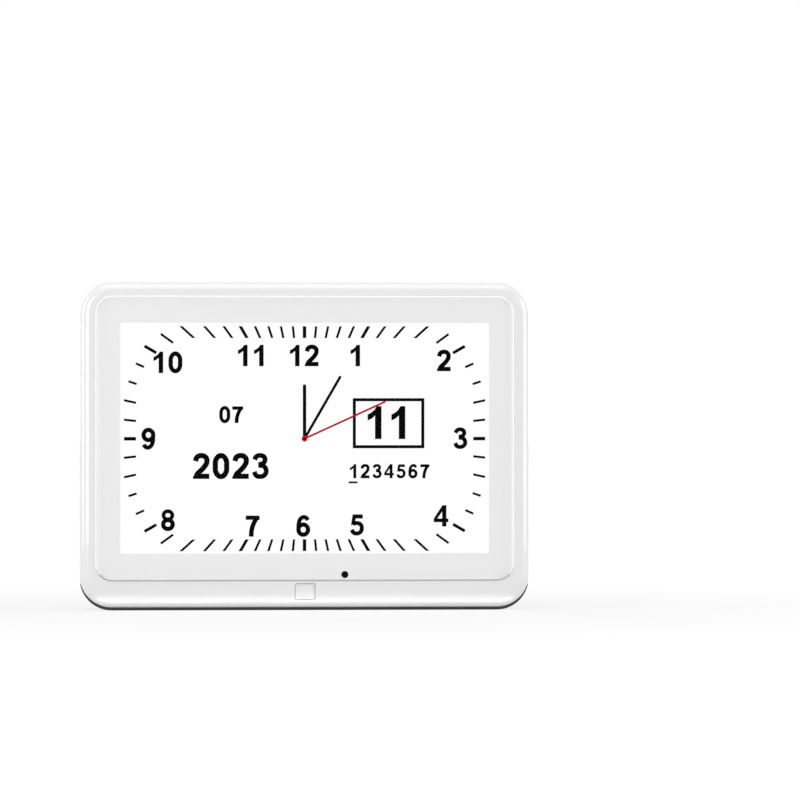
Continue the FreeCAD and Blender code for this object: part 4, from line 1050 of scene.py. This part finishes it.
def dot(name, radius, layer, material):
    """A round mark in the middle of the dial: a disc whose front rim is rounded off."""
    bpy.ops.object.select_all(action="DESELECT")
    bpy.ops.mesh.primitive_cylinder_add(
        vertices=48, radius=radius * MM, depth=INK * MM, location=(0, 0, INK / 2 * MM)
    )
    disc = bpy.context.object
    settle(disc)
    pick_edges(disc, lambda a, b: min(a.z, b.z) > 0.9 * INK * MM)
    bpy.ops.mesh.bevel(offset=INK / 2 * MM, segments=2, affect="EDGES", clamp_overlap=False)
    bpy.ops.object.mode_set(mode="OBJECT")
    settle(disc, on_screen(MID_X, 0, layer))
    on_dial([disc], name, material)


hand("hour_hand", degrees=0, length=25.4, width=1.6, layer=1, material=dial_black)
hand("minute_hand", degrees=30, length=33.8, width=1.3, layer=2, material=dial_black)
hand("second_hand", degrees=65.4, length=41.7, width=0.92, layer=3, material=hand_red)
cap_core = dial_ink("cap_core", (0.14, 0.001, 0.002))
dot("hand_cap", radius=1.4, layer=4, material=dial_red)
dot("hand_cap_core", radius=0.75, layer=5, material=cap_core)
print("hands drawn")

# %% [markdown]
# ## Signs on the rear keys
#
# The six keys at the back carry plain printed signs: power, list, return, up, down and select. They
# are drawn with the same pen, a little raised, as pad printing is, and each rides on its own key.

# %% Print the signs
SIGN = 0.1  # millimetres of thickness of a printed sign
THIN_PEN = 0.42
RING = 1.25  # radius of the round signs
sign_grey = finish(
    "sign_grey", (0.12, 0.12, 0.125), rough=(0.45, 0.6), shade=0.1, broad=200, fine=5000, grain=0.1
)


def sign_strokes(key):
    """The strokes of a key's sign, seen from behind the clock, in millimetres round its middle."""

    def bar(*points):
        return pen_stroke(points, THIN_PEN, SIGN, kind=CORNER)

    if key == "power":
        return [pen_stroke(arc(RING, 38, 322, 9), THIN_PEN, SIGN), bar((0, 0.35), (0, 1.6))]
    if key == "menu":
        return [bar((-1.3, y), (1.3, y)) for y in (-0.95, 0, 0.95)]
    if key == "back":
        hook = [(-1.2, 0.6), (0.7, 0.6), (1.3, 0.1), (1.25, -0.55), (0.6, -0.95), (-0.6, -0.95)]
        head = flat_shape([[(-1.7, 0.6), (-0.7, 1.35), (-0.7, -0.15)]], SIGN)
        return [pen_stroke(hook, THIN_PEN, SIGN), head]
    if key == "up":
        return [flat_shape([[(-1.35, -0.95), (1.35, -0.95), (0, 1.15)]], SIGN)]
    if key == "down":
        return [flat_shape([[(-1.35, 0.95), (0, -1.15), (1.35, 0.95)]], SIGN)]
    ring = pen_stroke(arc(RING), THIN_PEN, SIGN, closed=True)
    middle = pen_stroke(arc(0.3, 0, 270, 4), 0.6, SIGN, closed=True)
    return [ring, middle]


CROSSING = ("power", "back")  # the signs whose strokes touch
for key in ("power", "menu", "back", "up", "down", "enter"):
    low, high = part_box(key + "_key")
    middle = (low + high) / (2 * MM)
    name = key + "_sign"
    strokes = sign_strokes(key)
    sign = fused(strokes, name) if key in CROSSING else outward(welded(strokes, name))
    settle(sign, on_rear(middle.x, high.y / MM, middle.z))
    inked(sign, sign_grey)
    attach(sign, key + "_button")
    print(sign.name, len(sign.data.polygons), "faces")

# %% [markdown]
# ## Floor
#
# The floor is a plain pale sheet. Seen directly or in a reflection, most of its brightness is its own
# white, so that the ground looks white to its far edge, and the rest is lit by the lamps, so that the
# clock's shadow stays. Near the clock its own white has a smaller share, which paints a soft pool of
# shade round the clock, and the real shadow shows within it.

# %% Lay the floor
FLOOR_SIZE = 12  # metres
FLOOR_WHITE = 1.03  # how bright the floor's own white is
OWN_SHARE = (0.73, 1.0)  # that white's share by the clock and far from it
PAINTED_POOL_RANGE = (0.12, 0.42)  # metres from the middle of the clock between which the share grows
PAPER_TONE = (0.76, 0.8)  # the grey that the lamps light


def seen(tree):
    """One for the rays of the eye, of a reflection and through glass, zero for those that light."""
    path = tree.nodes.new("ShaderNodeLightPath")
    either = maths(tree, "MAXIMUM", path.outputs["Is Camera Ray"], path.outputs["Is Glossy Ray"])
    return maths(tree, "MAXIMUM", either, path.outputs["Is Transmission Ray"])


def make_floor():
    """A wide sheet whose own white grows away from the clock, leaving a painted pool of shade round it."""
    bpy.ops.object.select_all(action="DESELECT")
    bpy.ops.mesh.primitive_plane_add(size=FLOOR_SIZE, location=(0, 0, 0))
    sheet = bpy.context.object
    sheet.name = "floor"
    tree, surface = blank("floor_white")
    where = own_place(tree)
    lit = tree.nodes.new("ShaderNodeBsdfDiffuse")
    paper = noise(tree, where, scale=40, detail=3)
    link(tree, grey(tree, spread(tree, paper, *PAPER_TONE)), lit.inputs["Color"])
    own = tree.nodes.new("ShaderNodeEmission")
    own.inputs["Color"].default_value = (1, 1, 1, 1)
    own.inputs["Strength"].default_value = FLOOR_WHITE
    away = tree.nodes.new("ShaderNodeVectorMath")
    away.operation = "LENGTH"
    link(tree, where, away.inputs[0])
    # a smaller share of own white near the clock paints a soft pool of shade there
    far = spread(tree, away.outputs["Value"], *OWN_SHARE, *PAINTED_POOL_RANGE)
    share = maths(tree, "MULTIPLY", far, seen(tree))
    link(tree, mixed(tree, share, lit.outputs[0], own.outputs[0]), surface)
    sheet.data.materials.append(FINISHES["floor_white"])


make_floor()
print("floor laid")

# %% [markdown]
# ## Sky
#
# A pale sky gives most of the light. Where it is seen, directly or in a reflection, it is white. Where
# it lights, it is weaker, because the lamps do the rest.

# %% Make the sky
SKY_LEVEL = 0.42  # how bright the sky is where it lights


def make_sky(level):
    """A plain sky: white where it is seen, and at the given level where it lights."""
    world = bpy.data.worlds.new("studio")
    bpy.context.scene.world = world
    world.use_nodes = True
    tree = world.node_tree
    tree.nodes.clear()
    out = tree.nodes.new("ShaderNodeOutputWorld")
    skies = []
    for strength in (level, 1.0):
        sky = tree.nodes.new("ShaderNodeBackground")
        sky.inputs["Color"].default_value = (1, 1, 1, 1)
        sky.inputs["Strength"].default_value = strength
        skies.append(sky.outputs[0])
    link(tree, mixed(tree, seen(tree), *skies), out.inputs["Surface"])


make_sky(SKY_LEVEL)
print("sky", bpy.context.scene.world.name)

# %% [markdown]
# ## Lamps
#
# Soft lamps stand above, in front, at both sides and behind. Seen in the gloss of the frame's round
# edge, the two on the left make two bright lines there, and the one on the right makes a broad pale
# one. The lamp behind stands low, so that it lights the rear cover and not the front. The smallest
# lamp is a strip on the table just in front of the foot. It makes the bright line along the lower
# edge, and its beam is narrow, so that it lights nothing else.

# %% Place the lamps
LAMPS = (  # name, place, width and height in metres, and watts
    ("top_lamp", (0, -0.12, 1.1), (1.0, 0.5), 1.9),
    ("front_lamp", (0, -0.85, 1.25), (1.2, 0.6), 3.2),
    ("left_lamp", (-1.13, -0.26, 0.4), (0.5, 0.9), 3.5),
    ("corner_lamp", (-0.54, -1.06, 0.22), (0.54, 0.5), 2.5),
    ("right_lamp", (1.06, -0.39, 0.3), (0.8, 0.8), 4.5),
    ("back_lamp", (0, 1.1, 0.22), (1.2, 0.3), 3.6),
)
STRIP = ("table_strip", (0, -0.0155, 0.0004), (0.196, 0.003), 0.0009)
LOWER_EDGE = (0, -0.0105, 0.0042)  # what the strip looks at
STRIP_BEAM = math.radians(42)


def lamp(name, place, size, watts, target=(0, 0, 0.08)):
    """A soft lamp that looks at the clock. Its size is its width and its height."""
    bpy.ops.object.light_add(type="AREA", location=place)
    light = bpy.context.object
    light.name = name
    light.data.shape = "RECTANGLE"
    light.data.size, light.data.size_y = size
    light.data.energy = watts
    light.rotation_mode = "QUATERNION"
    light.rotation_quaternion = (Vector(place) - Vector(target)).to_track_quat("Z", "Y")
    light.rotation_mode = "XYZ"
    return light


lamps = {row[0]: lamp(*row) for row in LAMPS}
strip = lamp(*STRIP, target=LOWER_EDGE)
strip.data.spread = STRIP_BEAM
for hidden in (lamps["back_lamp"], strip):
    hidden.visible_camera = False

# %% [markdown]
# ## Camera
#
# The picture is taken with a long lens from the front, and a touch from the left. The clock sits
# left of and below the middle of the frame, so the lens looks at a point beside it.

# %% Place the camera
LENS = 250.0
SENSOR = 36.0
FRAME_WIDTH = 373.75  # millimetres across the picture, at the screen
AIM_X, AIM_Z = 44.45, 98.1  # the point in the middle of the picture
YAW = math.radians(3.7)  # how far round to the left the camera stands
aim = Vector((AIM_X * MM, screen_low.y, AIM_Z * MM))
distance = FRAME_WIDTH * MM * LENS / SENSOR
camera_data = bpy.data.cameras.new("view")
camera_data.lens = LENS
camera_data.sensor_width = SENSOR
camera = bpy.data.objects.new("view", camera_data)
bpy.context.scene.collection.objects.link(camera)
camera.location = aim + distance * Vector((-math.sin(YAW), -math.cos(YAW), 0))
camera.rotation_euler = (math.radians(90), 0, -YAW)
bpy.context.scene.camera = camera
bpy.context.scene.view_settings.view_transform = "Standard"
print("camera", round(distance, 3), "m away")
